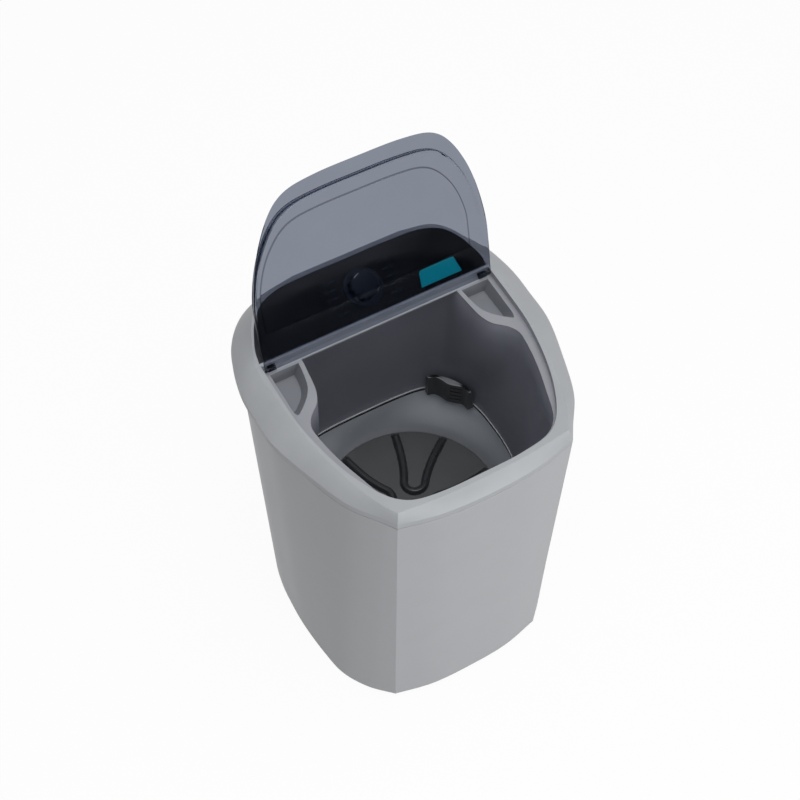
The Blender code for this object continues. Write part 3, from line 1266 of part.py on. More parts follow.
def make_base():
    """Make the base tray that closes the cabinet's foot, its four feet, and the capacitor on it."""
    low = FOOT_HEIGHT + SEAT
    edge = offset(base_ring(), -CABINET_WALL - SEAT)
    inner = offset(edge, -BASE_THICKNESS)
    rings = [raised(edge, low), raised(edge, low + BASE_RIM), raised(inner, low + BASE_RIM),
             raised(inner, low + BASE_THICKNESS)]
    tray = loft("base_tray", rings, "black_plastic", "flat")
    stem_top = FOOT_HEIGHT + FOOT_STEM_LENGTH
    profile = [(0.0, stem_top), (FOOT_STEM_RADIUS, stem_top), (FOOT_STEM_RADIUS, FOOT_HEIGHT)]
    profile += [(FOOT_RADIUS * across, FOOT_HEIGHT * along) for across, along in FOOT_PROFILE_SHARES]
    profile.append((0.0, 0.0))
    for name, spot in foot_places():
        cut(tray, rod("hole", FOOT_STEM_RADIUS + GAP, -OVERRUN, OVERRUN, "black_plastic", spot + UP * low))
        turned(name, profile, "rubber", spot, steps=FOOT_STEPS)
    floor = low + BASE_THICKNESS + SEAT
    centre = (CAPACITOR_X, CAPACITOR_Y, floor)
    can = [(CAPACITOR_RADIUS * across, CAPACITOR_HEIGHT * along) for across, along in CAN_PROFILE_SHARES]
    turned("capacitor", can, "pale_plastic", centre)
    inner_radius = CAPACITOR_RADIUS + GAP
    tube("capacitor_clip", inner_radius + CLIP_WALL, inner_radius, 0.0, CLIP_HEIGHT, "zinc", centre)


def make_drain():
    """Make the drain pipe from the tub's floor to the rear wall, and the spigot it feeds."""
    top = TUB_FLOOR - TUB_WALL - SEAT
    wall_y = rear_matrix(PIPE_HEIGHT).translation.y
    end_y = wall_y - CABINET_WALL - RUNNING_GAP - SEAT
    path = [(Vector((PIPE_X, PIPE_Y, top)), 0.0), (Vector((PIPE_X, PIPE_Y, PIPE_HEIGHT + PIPE_BEND)), 0.0)]
    for step in range(1, BEND_STEPS + 1):
        a = step * pi / (2.0 * BEND_STEPS)
        y = PIPE_Y + PIPE_BEND * (1.0 - cos(a))
        path.append((Vector((PIPE_X, y, PIPE_HEIGHT + PIPE_BEND * (1.0 - sin(a)))), a))
    path.append((Vector((PIPE_X, end_y, PIPE_HEIGHT)), pi / 2.0))
    rings = []
    for radius, course in ((PIPE_RADIUS, path), (PIPE_RADIUS - PIPE_WALL, path[::-1])):
        for spot, lean in course:
            out = Vector((0.0, cos(lean), sin(lean)))
            angles = [2.0 * pi * step / PIPE_SIDES for step in range(PIPE_SIDES)]
            rings.append([spot + ACROSS * (radius * cos(a)) + out * (radius * sin(a)) for a in angles])
    loft("drain_pipe", rings, "black_plastic", "joined")

    inner = PIPE_RADIUS - PIPE_WALL - 2.0 * RUNNING_GAP
    bore = inner - PIPE_WALL
    plug = -CABINET_WALL - PIPE_WALL * 3.0
    barb = inner + SPIGOT_BARB
    first_low, first_high, second_low, second_high = BARB_SHARES
    profile = ((bore, plug), (inner, plug), (inner, SEAT), (SPIGOT_FLANGE_RADIUS, SEAT),
               (SPIGOT_FLANGE_RADIUS, SEAT + SPIGOT_FLANGE), (inner, SEAT + SPIGOT_FLANGE),
               (inner, SPIGOT_REACH * first_low), (barb, SPIGOT_REACH * first_high),
               (inner, SPIGOT_REACH * second_low), (barb, SPIGOT_REACH * second_high),
               (inner, SPIGOT_REACH), (bore, SPIGOT_REACH))
    spigot = turned("drain_spigot", profile, "black_plastic", ORIGIN, closed=True)
    place(spigot, rear_axis(PIPE_X, PIPE_HEIGHT))


def make_cable_gland():
    """Make the gland in the rear wall that the mains lead comes out of."""
    profile = ((GLAND_BORE, -CABINET_WALL - OVERRUN), (GLAND_RADIUS, -CABINET_WALL - OVERRUN),
               (GLAND_RADIUS, SEAT), (GLAND_FLANGE_RADIUS, SEAT), (GLAND_FLANGE_RADIUS, SEAT + GLAND_FLANGE),
               (GLAND_RADIUS * GLAND_NECK_SHARES[0], SEAT + GLAND_FLANGE),
               (GLAND_RADIUS * GLAND_NECK_SHARES[1], GLAND_REACH),
               (GLAND_BORE, GLAND_REACH))
    gland = turned("cable_gland", profile, "rubber", ORIGIN, closed=True)
    place(gland, rear_axis(GLAND_X, GLAND_HEIGHT))


def make_rear_cover():
    """Make the service cover on the rear wall, with its row of slots and its screws."""
    matrix = rear_matrix(COVER_CENTRE)
    cover = block("rear_cover", (COVER_WIDTH, COVER_THICKNESS, COVER_HEIGHT),
                  (0.0, SEAT + COVER_THICKNESS / 2.0, 0.0), "body_grey")
    for index in range(LOUVRES):
        z = (index - (LOUVRES - 1) / 2.0) * LOUVRE_PITCH
        cut(cover, block("slot", (LOUVRE_WIDTH, OVERRUN, LOUVRE_HEIGHT), (0.0, 0.0, z), "body_grey"))
    seat = COVER_THICKNESS + 2.0 * SEAT
    profile = [(SCREW_RADIUS * across, seat + SCREW_HEAD * along) for across, along in SCREW_HEAD_SHARES]
    tip = seat - SCREW_SHANK
    profile += [(SCREW_SHANK_RADIUS, seat), (SCREW_SHANK_RADIUS, tip), (0.0, tip)]
    for index, spot in enumerate(cover_screw_places()):
        hole = small_hole(SCREW_SHANK_RADIUS + GAP, -OVERRUN, OVERRUN, "body_grey", ORIGIN)
        cut(cover, place(hole, spot))
        screw = turned(f"cover_screw_{index + 1}", profile, "zinc", ORIGIN, steps=HOLE_STEPS)
        place(screw, matrix @ spot)
    place(cover, matrix)


def make_console():
    """Make the glossy fascia, the housing and timer below it, the badge plate and the knob."""
    matrix = console_matrix()
    knob_place = matrix @ Matrix.Translation((0.0, KNOB_UP_SLOPE, 0.0))
    rings = [raised(fascia_ring(GAP), -FASCIA_THICKNESS), raised(fascia_ring(GAP), -FASCIA_BEVEL),
             raised(fascia_ring(GAP + FASCIA_BEVEL), 0.0)]
    fascia = loft("console_fascia", rings, "gloss_black")
    hole = rod("hole", SPINDLE_RADIUS + RUNNING_GAP, -OVERRUN, OVERRUN, "gloss_black",
               (0.0, KNOB_UP_SLOPE, 0.0))
    cut(fascia, hole)
    place(fascia, matrix)

    under = -FASCIA_THICKNESS - GAP
    size = (HOUSING_BOX_WIDTH, HOUSING_BOX_LENGTH, HOUSING_BOX_DEPTH)
    middle = under - HOUSING_BOX_DEPTH / 2.0
    housing = block("console_housing", size, (0.0, 0.0, middle), "black_plastic")
    room = (HOUSING_BOX_WIDTH - 2.0 * HOUSING_BOX_WALL, HOUSING_BOX_LENGTH - 2.0 * HOUSING_BOX_WALL,
            HOUSING_BOX_DEPTH)
    cut(housing, block("room", room, (0.0, 0.0, middle + HOUSING_BOX_WALL), "black_plastic"))
    place(housing, knob_place)

    size = (TIMER_SIZE, TIMER_SIZE, TIMER_DEPTH)
    middle = under - TIMER_DEPTH / 2.0
    timer = block("timer_module", size, (0.0, 0.0, middle), "pale_plastic", TIMER_BEVEL)
    spindle_low = under - SPINDLE_DEPTH
    cut(timer, rod("bore", SPINDLE_RADIUS + RUNNING_GAP, spindle_low - SEAT, OVERRUN, "pale_plastic",
                   ORIGIN))
    place(timer, knob_place)

    knob_low = RUNNING_GAP
    skirt_top = knob_low + KNOB_SKIRT
    edge_low = knob_low + KNOB_SKIRT * SKIRT_EDGE_SHARE
    skirt = ((0.0, knob_low), (KNOB_RADIUS, knob_low), (KNOB_RADIUS, edge_low),
             (KNOB_RADIUS - KNOB_SKIRT, skirt_top), (0.0, skirt_top))
    knob = turned("timer_knob", skirt, "knob_black", ORIGIN, steps=KNOB_FLUTES * 2)
    rings = []
    steps = KNOB_FLUTES * 3
    for width_share, height_share in KNOB_GRIP_SHARES:
        points = []
        for step in range(steps):
            a = 2.0 * pi * step / steps
            flute = 1.0 - KNOB_FLUTE_SHARE * (1.0 - cos(KNOB_FLUTES * a)) / 2.0
            radius = KNOB_GRIP_RADIUS * width_share * flute
            points.append(Vector((radius * cos(a), radius * sin(a), knob_low + KNOB_HEIGHT * height_share)))
        rings.append(points)
    join(knob, loft("grip", rings, "knob_black", "flat"))
    spindle_high = knob_low + SPINDLE_REACH
    cut(knob, rod("bore", SPINDLE_RADIUS + GAP, -OVERRUN, spindle_high + GAP, "knob_black", ORIGIN))
    place(knob, knob_place)
    spindle = rod("timer_spindle", SPINDLE_RADIUS, spindle_low, spindle_high, "steel", ORIGIN)
    place(spindle, knob_place)

    outline = [Vector((across * BADGE_WIDTH, along * BADGE_HEIGHT))
               for across, along in BADGE_OUTLINE_SHARES]
    badge = loft("badge_plate", [raised(outline, 0.0), raised(outline, BADGE_THICKNESS)], "teal", "flat")
    place(badge, matrix @ Matrix.Translation((BADGE_X, BADGE_UP_SLOPE, GAP)))


def main():
    """Build every sub-part."""
    clear_scene()
    make_cabinet()
    make_top_frame()
    make_lid()
    make_hinge_pins()
    make_tub_collar()
    make_tub_gasket()
    make_tub_bowl()
    make_lint_filter()
    make_impeller()
    make_bearing()
    make_pulleys()
    make_motor()
    make_base()
    make_drain()
    make_cable_gland()
    make_rear_cover()
    make_console()


main()
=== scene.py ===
"""Looks of the semi-automatic top-loading washing machine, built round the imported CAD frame.

Metres, +Z up, -Y is the front. Each visible moulding is rebuilt here from the same outlines as the
solids, with finer curves and rounded edges, and rides on the body of the node that it stands for.
"""
import json
from math import atan2, cos, pi, radians, sin, sqrt, tan

import bmesh
import bpy
from mathutils import Matrix, Vector

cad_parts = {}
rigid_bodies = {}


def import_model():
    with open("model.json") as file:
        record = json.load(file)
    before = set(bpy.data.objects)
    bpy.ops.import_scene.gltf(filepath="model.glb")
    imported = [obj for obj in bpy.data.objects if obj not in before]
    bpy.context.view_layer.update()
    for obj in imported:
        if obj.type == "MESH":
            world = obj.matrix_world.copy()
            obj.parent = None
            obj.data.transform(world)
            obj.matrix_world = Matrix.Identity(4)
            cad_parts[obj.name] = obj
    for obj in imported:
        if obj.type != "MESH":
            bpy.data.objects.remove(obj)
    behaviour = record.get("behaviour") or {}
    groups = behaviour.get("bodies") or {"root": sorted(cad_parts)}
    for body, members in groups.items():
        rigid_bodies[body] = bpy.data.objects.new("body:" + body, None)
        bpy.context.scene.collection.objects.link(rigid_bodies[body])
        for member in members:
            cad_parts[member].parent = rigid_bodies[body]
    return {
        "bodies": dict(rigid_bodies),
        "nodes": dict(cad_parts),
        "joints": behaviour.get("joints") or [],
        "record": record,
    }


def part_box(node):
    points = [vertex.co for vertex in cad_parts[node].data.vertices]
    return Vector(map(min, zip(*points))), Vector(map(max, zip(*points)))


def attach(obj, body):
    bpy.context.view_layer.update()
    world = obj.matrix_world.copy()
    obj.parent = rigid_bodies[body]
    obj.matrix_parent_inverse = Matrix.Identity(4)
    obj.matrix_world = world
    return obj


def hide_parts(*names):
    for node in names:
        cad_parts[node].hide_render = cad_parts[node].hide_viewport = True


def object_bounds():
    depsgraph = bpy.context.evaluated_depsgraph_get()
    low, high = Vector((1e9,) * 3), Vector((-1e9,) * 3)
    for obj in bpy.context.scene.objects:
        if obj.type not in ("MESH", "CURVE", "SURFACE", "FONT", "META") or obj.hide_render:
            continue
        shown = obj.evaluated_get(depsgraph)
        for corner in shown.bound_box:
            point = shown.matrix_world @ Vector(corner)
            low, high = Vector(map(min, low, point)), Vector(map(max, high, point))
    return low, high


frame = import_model()
cad_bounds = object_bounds()
nodes = frame["nodes"]

# Sizes in metres, as in the solids
BODY_WIDTH, BODY_FRONT, BODY_BACK = 0.560, 0.284, 0.2722
BASE_WIDTH, BASE_FRONT, BASE_BACK = 0.528, 0.262, 0.248
SEAM_HEIGHT, CABINET_LIFT, CABINET_WALL = 0.720, 0.008, 0.0028
SEAT, GAP = 0.0003, 0.0003
FRAME_WALL, FRAME_OVERHANG = 0.003, 0.0118
SEAM_GROOVE, SEAM_GROOVE_DEPTH = 0.0018, 0.0012
EDGE_FRONT_HEIGHT, EDGE_SIDE_HEIGHT, EDGE_BACK_HEIGHT, EDGE_BLEND_SHARE = 0.014, 0.016, 0.036, 0.4
CREST_WIDTH, CREST_FRONT, CREST_BACK = 0.492, 0.262, 0.243
LIP_HEIGHT, HINGE_LIP_HEIGHT, LEDGE_DEPTH, SHOULDER_CROWN = 0.757, 0.772, 0.014, 0.003
CONSOLE_SLOPE = radians(25.0)
RECESS_BEHIND_HINGE, FOLD_BEHIND_HINGE = 0.007, 0.0085
FASCIA_WIDTH, FASCIA_DEPTH, FASCIA_THICKNESS, FASCIA_MARGIN = 0.476, 0.1165, 0.004, 0.004
MOUTH_WIDTH, MOUTH_FRONT, MOUTH_BACK, BAR_FRONT = 0.429, 0.246, 0.158, 0.115
TRAY_WIDTH, TRAY_LENGTH, TRAY_DEPTH = 0.057, 0.104, 0.030
TRAY_INNER_X, TRAY_BACK_Y, TRAY_FLOOR_SHARE = 0.171, 0.110, 0.70
HINGE_Y, HINGE_HEIGHT = 0.118, 0.766
LID_HALF_WIDTH, LID_LENGTH, LID_WALL, LID_SIDE_GAP = 0.235, 0.368, 0.0025, 0.0025
LID_LEAN = radians(11.0)
BRIM_FRONT, BRIM_SIDE, BRIM_REAR, BRIM_RISE = 0.044, 0.006, 0.020, 0.003
WALL_RISE, WALL_INSET, REAR_WALL_RUN = 0.021, 0.003, 0.026
SHOULDER_RISE, SHOULDER_FRONT, SHOULDER_SIDE, SHOULDER_REAR = 0.004, 0.038, 0.015, 0.058
CREASE_DROP, CREASE_WIDTH, PANEL_CROWN, PANEL_INSET = 0.0012, 0.003, 0.004, 0.035
PIN_RADIUS, PIN_SEAT_DEPTH, PIN_BORE_ROOM = 0.003, 0.005, 0.0005
EAR_RADIUS, EAR_WIDTH, EAR_INSET, EAR_FOOT = 0.0062, 0.014, 0.008, 0.009
TUB_Y, TUB_WALL, TUB_SEAM_HEIGHT = -0.007, 0.003, 0.400
SEAM_HALF_WIDTH, SEAM_FRONT, SEAM_BACK, COLLAR_STRAIGHT = 0.205, 0.208, 0.180, 0.055
TUB_FLANGE, GASKET_HEIGHT, GASKET_WIDTH, GASKET_INSET = 0.012, 0.003, 0.008, 0.0005
BEAD_HEIGHT, BEAD_REACH, GROOVE_DROP = 0.0042, 0.0016, 0.0060
BEAD_SHARES = ((0.25, 0.35), (0.42, 0.80), (0.58, 1.0), (0.78, 1.0), (0.93, 0.75), (1.0, 0.3))
BOWL_RADIUS, BOWL_HEIGHT, TUB_FLOOR, FLOOR_CORNER = 0.1945, 0.300, 0.262, 0.020
FILTER_HEIGHT, FILTER_WALL, FILTER_MARGIN, FILTER_LEAN = 0.060, 0.002, 0.005, 0.006
FILTER_ROUND = 0.0030
IMPELLER_RADIUS, IMPELLER_RIM_HEIGHT, IMPELLER_DISH, IMPELLER_SKIRT = 0.187, 0.290, 0.014, 0.012
HUB_RADIUS, HUB_RISE = 0.028, 0.007
RIB_COUNT, RIB_REACH, RIB_TIP, RIB_TURN_RADIUS = 5, 0.172, 0.0445, 0.022
RIB_HALF_ANGLE, RIB_HALF_WIDTH, RIB_RISE = radians(16.5), 0.0075, 0.010
RIB_FIRST_ANGLE, RIB_ARM_CURVE = radians(55.0), 1.6
CAP_RADIUS, CAP_RISE, CAP_HOLE_RADIUS, CAP_HOLE_OFFSET, CAP_HOLES = 0.020, 0.009, 0.0022, 0.0125, 4
KNOB_RADIUS, KNOB_SKIRT, KNOB_HEIGHT, KNOB_GRIP_RADIUS = 0.038, 0.004, 0.020, 0.030
KNOB_FLUTES, KNOB_UP_SLOPE = 12, 0.058
BADGE_WIDTH, BADGE_HEIGHT, BADGE_THICKNESS = 0.086, 0.031, 0.0012
BADGE_X, BADGE_UP_SLOPE = 0.144, 0.028

# Sizes of the finer work that is only seen here
CABINET_EDGE, FRAME_EDGE, FASCIA_EDGE = 0.0012, 0.0011, 0.0012
SOLID_EDGE, SMALL_EDGE, CAP_EDGE, SKIRT_EDGE = 0.0007, 0.0005, 0.0004, 0.0008
BADGE_EDGE, BADGE_CORNER = 0.0004, 0.0016
CABINET_SHARP_ANGLE, FRAME_SHARP_ANGLE, FRAME_EDGE_ANGLE = 16.0, 20.0, 24.0
ARRIS_SHARE, SHOULDER_SHARES = 0.6, (0.08, 0.2, 0.35, 0.5, 0.65, 0.8, 0.92)
COVER_WINDOW_MARGIN, SPIGOT_HOLE_RADIUS, GLAND_HOLE_RADIUS, REAR_HOLE_Y = 0.014, 0.0145, 0.009, 0.25
COLLAR_LIP, COLLAR_LIP_DROP, BOWL_WALL_DROP = 0.0008, 0.0012, 0.0013
BOWL_LIP = ((0.0012, 0.0), (0.0003, 0.0004))
GATE_INSET, FASCIA_SEAT_INSET, TOOL_REACH, WALL_TOOL_DEPTH = 0.009, 0.009, 0.010, 0.060
SLOT_COUNT, SLOT_SIZE = 4, (0.026, 0.010, 0.005)
SLOT_MESH_SIZE, SLOT_MESH_BACK = (0.034, 0.0008, 0.048), 0.0042
IMPELLER_BORE, HUB_FLAT_SHARE, SECTOR_STEPS, DISH_ROWS, RIM_DROP = 0.0083, 0.85, 128, 104, 0.0008
RIDGE_FLAT, RIDGE_FALL, RIB_FADE = 0.35, 0.80, 0.012
IMPELLER_WALL, IMPELLER_CLEARANCE = 0.003, 0.008
CAP_SHARES = ((0.0, 1.0), (0.3, 0.98), (0.6, 0.88), (0.85, 0.66), (0.97, 0.35), (1.0, 0.0))
CAP_BORE_RADIUS, CAP_BORE_DEPTH, CAP_HOLE_DEPTH = 0.007, 0.005, 0.0045
SPINDLE_HOLE_RADIUS, KNOB_LIFT, KNOB_FLUTE_DEPTH = 0.0035, 0.0005, 0.07
GRIP_SHARES = ((0.985, 0.4), (0.96, 0.7), (0.935, 0.84), (0.90, 0.92), (0.84, 0.975), (0.78, 1.0))
MARK_ROWS, MARK_PITCH, MARK_REACH, MARK_BULGE, MARK_THICKNESS = 5, 0.016, 0.044, 0.006, 0.00012
POINTER_BLOCKS, POINTER_RADIUS, POINTER_BLOCK = 9, 0.0222, (0.0012, 0.0015, 0.00025)
POINTER_START, POINTER_STEP, POINTER_LIFT = 98.0, 3.5, 0.0001

# How near two heights count as the same, and room round the parts of the frame with painted shade
SAME_HEIGHT, TRAY_SIDE_ROOM, TRAY_END_ROOM, LEDGE_ROOM = 0.0005, 0.02, 0.002, 0.006

# The printed strokes of one mark: outward, upward, width, height
MARK_STROKES = (
    (0.006, 0.0, 0.012, 0.0016), (0.020, 0.0022, 0.009, 0.0009), (0.019, -0.0018, 0.007, 0.0009))

# Rows of faces, counted from the lid's edge, and the part of the lid whose step wall is painted
# paler, as painted light
WALL_ROWS, CREASE_ROWS, PAINTED_LIGHT_WALL_SHARE = (4, 7), (14, 16), 0.78

RING_STEPS = 8
FOLD_SHARE = (HINGE_Y + FOLD_BEHIND_HINGE) / CREST_BACK

# Half outlines as shares of a width and a depth, from the middle out; True marks a corner
BODY_OUTLINE_SHARES = (
    (0.0, -1.0), (0.347, -0.980), (0.630, -0.917, True), (0.688, -0.832), (0.822, -0.644),
    (0.929, -0.352), (1.0, -0.030), (0.994, 0.20), (0.974, 0.455), (0.901, 0.710), (0.765, 0.890),
    (0.610, 0.980), (0.46, 1.0, True), (0.0, 1.0))
BASE_OUTLINE_SHARES = (
    (0.0, -1.0), (0.344, -0.985), (0.648, -0.9165, True), (0.808, -0.752), (0.925, -0.547),
    (0.970, -0.324), (1.0, -0.020), (1.0, 0.20), (0.980, 0.463), (0.916, 0.710), (0.785, 0.895),
    (0.600, 0.980), (0.45, 1.0, True), (0.0, 1.0))
CREST_OUTLINE_SHARES = (
    (0.0, -1.0), (0.36, -0.992), (0.691, -0.960, True), (0.756, -0.860), (0.838, -0.670),
    (0.932, -0.330), (0.976, -0.030), (0.992, 0.19), (1.0, FOLD_SHARE), (0.948, 0.680),
    (0.868, 0.835), (0.722, 0.952), (0.45, 1.0, True), (0.0, 1.0))
MOUTH_OUTLINE_SHARES = (
    (0.0, -1.0), (0.38, -0.990), (0.660, -0.945), (0.780, -0.855), (0.880, -0.617), (0.953, -0.396),
    (0.995, -0.190), (0.998, -0.092), (0.953, -0.015), (0.844, 0.120), (0.797, 0.270),
    (0.765, 0.600), (0.735, 0.890), (0.650, 0.990), (0.0, 1.0))
SEAM_OUTLINE_SHARES = (
    (0.0, -1.0), (0.37, -0.955), (0.620, -0.830), (0.785, -0.680), (0.895, -0.510), (0.966, -0.320),
    (0.996, -0.110), (1.0, 0.10), (0.995, 0.28), (0.971, 0.470), (0.925, 0.640), (0.850, 0.785),
    (0.745, 0.895), (0.600, 0.965), (0.0, 1.0))
LID_OUTLINE_SHARES = (
    (0.0, 1.0), (0.34, 0.996), (0.560, 0.973), (0.666, 0.932), (0.751, 0.864), (0.843, 0.747),
    (0.902, 0.639), (0.953, 0.503), (0.989, 0.353), (0.998, 0.204), (1.0, 0.050), (1.0, 0.0, True),
    (0.0, 0.0))
FASCIA_OUTLINE_SHARES = (
    (0.0, 0.0), (1.0, 0.0, True), (0.985, 0.20), (0.955, 0.37), (0.900, 0.60), (0.800, 0.830),
    (0.640, 0.960), (0.35, 1.0), (0.0, 1.0))

# A tray's rim, the whole badge and the filter's front, in shares as well
TRAY_OUTLINE_SHARES = (
    (0.0, 0.0), (0.06, 0.30), (0.16, 0.54), (0.37, 0.73), (0.78, 0.95), (0.93, 1.0), (0.99, 0.93),
    (1.0, 0.55), (1.0, 0.0))
BADGE_OUTLINE_SHARES = (
    (-0.5, -0.5), (0.5, -0.5), (0.463, 0.5), (-0.314, 0.5), (-0.379, 0.448), (-0.416, 0.294))
FILTER_FRONT_SHARES = (
    (0.630, 0.850), (0.695, 0.825), (0.735, 0.750), (0.765, 0.665), (0.835, 0.585), (0.878, 0.535),
    (0.885, 0.445))

UP = Vector((0.0, 0.0, 1.0))
LIP_SLOPE = (HINGE_LIP_HEIGHT - LIP_HEIGHT) / (HINGE_Y + MOUTH_FRONT)
FOLD_Y = HINGE_Y + FOLD_BEHIND_HINGE


# Outlines and surfaces, as in the solids

def even_steps(count):
    """Give the even steps from nought to one, both included."""
    return [step / count for step in range(count + 1)]


def curve_point(before, start, end, after, share):
    """Give a point between start and end on a smooth curve through all four points."""
    knots = [0.0]
    for first, second in ((before, start), (start, end), (end, after)):
        knots.append(knots[-1] + sqrt((second - first).length))
    place = knots[1] + share * (knots[2] - knots[1])

    def mix(first, second, low, high):
        """Mix two points by where the place lies between two knots."""
        return first * ((high - place) / (high - low)) + second * ((place - low) / (high - low))

    near = mix(before, start, knots[0], knots[1])
    middle = mix(start, end, knots[1], knots[2])
    far = mix(end, after, knots[2], knots[3])
    first = mix(near, middle, knots[0], knots[2])
    second = mix(middle, far, knots[1], knots[3])
    return mix(first, second, knots[1], knots[2])


def half_outline(shares, half_width, front, back, middle=0.0):
    """Turn a table of shares into points in metres, with their corner marks."""
    points = []
    for across, along, *corner in shares:
        reach = front if along < 0.0 else back
        points.append((Vector((across * half_width, middle + along * reach)), bool(corner)))
    return points


def ring(half):
    """Mirror a half outline and draw a smooth closed curve through its points."""
    mirrored = [(Vector((-point.x, point.y)), corner) for point, corner in reversed(half[1:-1])]
    stations = half + mirrored
    count = len(stations)
    points = []
    for index, (start, start_corner) in enumerate(stations):
        end, end_corner = stations[(index + 1) % count]
        before = 2.0 * start - end if start_corner else stations[index - 1][0]
        after = 2.0 * end - start if end_corner else stations[(index + 2) % count][0]
        points += [curve_point(before, start, end, after, t) for t in even_steps(RING_STEPS)[:-1]]
    return points


def open_curve(corners, steps):
    """Draw a smooth curve through corners, which starts and ends straight."""
    stations = [2.0 * corners[0] - corners[1]] + corners + [2.0 * corners[-1] - corners[-2]]
    points = [corners[0]]
    for before, start, end, after in zip(stations, stations[1:], stations[2:], stations[3:]):
        points += [curve_point(before, start, end, after, t) for t in even_steps(steps)[1:]]
    return points


def rounded_corner(before, here, after, radius, steps, most=0.45):
    """Round one corner by a radius, within a share of the stretches beside it."""
    back, on = before - here, after - here
    reach = min(radius, back.length * most, on.length * most)
    first, second = here + back.normalized() * reach, here + on.normalized() * reach
    return [first * (1.0 - t) ** 2 + here * (2.0 * t * (1.0 - t)) + second * t ** 2
            for t in even_steps(steps)]


def offset(points, distance):
    """Move a closed outline outward by a distance, which may be a function of the point."""
    moved = []
    points = [point.to_2d() for point in points]
    count = len(points)
    for index, point in enumerate(points):
        before = (point - points[index - 1]).normalized()
        after = (points[(index + 1) % count] - point).normalized()
        along = (before + after).normalized()
        normal = Vector((along.y, -along.x))
        stretch = max(normal.dot(Vector((before.y, -before.x))), 0.5)
        amount = distance(point) if callable(distance) else distance
        moved.append(point + normal * (amount / stretch))
    return moved


def blend(first, second, share):
    """Mix two outlines point by point."""
    return [a.lerp(b, share) for a, b in zip(first, second)]


def raised(points, height):
    """Lift a flat outline to a height, which may be a function of the point."""
    return [Vector((p.x, p.y, height(p) if callable(height) else height)) for p in points]


def lip_level(y):
    """Give the height of the sloping plane that the shut lid's rim lies in."""
    return LIP_HEIGHT + (y + MOUTH_FRONT) * LIP_SLOPE


def top_height(point):
    """Give the height of the frame's top surface: the lid's plane, then the console's slope."""
    return lip_level(min(point.y, FOLD_Y)) + max(point.y - FOLD_Y, 0.0) * tan(CONSOLE_SLOPE)


def ledge_height(point):
    """Give the height of the ledge that the shut lid rests on."""
    return lip_level(point.y) - LEDGE_DEPTH


def inside(spot, outline):
    """Say whether a flat point lies inside a closed outline."""
    within = False
    x, y = spot
    for (x1, y1), (x2, y2) in zip(outline, outline[1:] + outline[:1]):
        if (y1 > y) != (y2 > y) and x < x1 + (y - y1) / (y2 - y1) * (x2 - x1):
            within = not within
    return within


def ease(value):
    """Go smoothly from nought to one."""
    value = min(max(value, 0.0), 1.0)
    return value * value * (3.0 - 2.0 * value)


def lid_half(half_width, place):
    """Give half the lid's outline, with Y worked out from each point's share along the lid."""
    return [(Vector((across * half_width, place(along))), bool(corner))
            for across, along, *corner in LID_OUTLINE_SHARES]


def recess_ring():
    """Give the outline of the recess that the shut lid lies in."""
    rear = HINGE_Y + RECESS_BEHIND_HINGE - LID_SIDE_GAP
    half = lid_half(LID_HALF_WIDTH, lambda along: HINGE_Y - along * LID_LENGTH if along else rear)
    return offset(ring(half), LID_SIDE_GAP)


def overhang(point):
    """Give how far the frame stands out past the cabinet."""
    return FRAME_OVERHANG * ease((point.y + BODY_FRONT / 2.0) / (BODY_FRONT / 2.0 + HINGE_Y))


def edge_height(point):
    """Give the height of the frame's upright outer edge, from the seam up."""
    to_side = ease((point.y + BODY_FRONT) / (BODY_FRONT * EDGE_BLEND_SHARE))
    to_back = ease(point.y / BODY_BACK)
    front_part = EDGE_FRONT_HEIGHT + (EDGE_SIDE_HEIGHT - EDGE_FRONT_HEIGHT) * to_side
    return front_part + (EDGE_BACK_HEIGHT - EDGE_SIDE_HEIGHT) * to_back


def fascia_ring(inset=0.0):
    """Give the fascia's outline in the console's own frame."""
    half = half_outline(FASCIA_OUTLINE_SHARES, FASCIA_WIDTH / 2.0, 0.0, FASCIA_DEPTH, FASCIA_MARGIN)
    return offset(ring(half), -inset)


def round_ring(outline, radius):
    """Give a circle about the tub's axis with a point for each point of an outline."""
    centre = Vector((0.0, TUB_Y))
    return [centre + (point - centre).normalized() * radius for point in outline]


# The cabinet at the frame and at its foot, the frame's crest, the tub's mouth and the tub's seam
BODY_RING = ring(half_outline(BODY_OUTLINE_SHARES, BODY_WIDTH / 2.0, BODY_FRONT, BODY_BACK))
BASE_RING = ring(half_outline(BASE_OUTLINE_SHARES, BASE_WIDTH / 2.0, BASE_FRONT, BASE_BACK))
CREST_RING = ring(half_outline(CREST_OUTLINE_SHARES, CREST_WIDTH / 2.0, CREST_FRONT, CREST_BACK))
MOUTH_RING = ring(half_outline(MOUTH_OUTLINE_SHARES, MOUTH_WIDTH / 2.0, MOUTH_FRONT, MOUTH_BACK))
SEAM_RING = ring(half_outline(SEAM_OUTLINE_SHARES, SEAM_HALF_WIDTH, SEAM_FRONT, SEAM_BACK))

# The console's own frame: X across, Y up the slope, Z out of the panel
CONSOLE_PLACE = (Matrix.Translation((0.0, FOLD_Y, top_height(Vector((0.0, FOLD_Y)))))
                 @ Matrix.Rotation(CONSOLE_SLOPE, 4, "X"))


# Meshes

def piece(name, mesh, material, sharp=35.0):
    """Turn a finished bmesh into a named object, smooth except across sharp edges."""
    bmesh.ops.recalc_face_normals(mesh, faces=mesh.faces[:])
    data = bpy.data.meshes.new(name)
    mesh.to_mesh(data)
    mesh.free()
    data.materials.append(material)
    item = bpy.data.objects.new(name, data)
    bpy.context.scene.collection.objects.link(item)
    data.shade_smooth()
    data.set_sharp_from_angle(angle=radians(sharp))
    return item


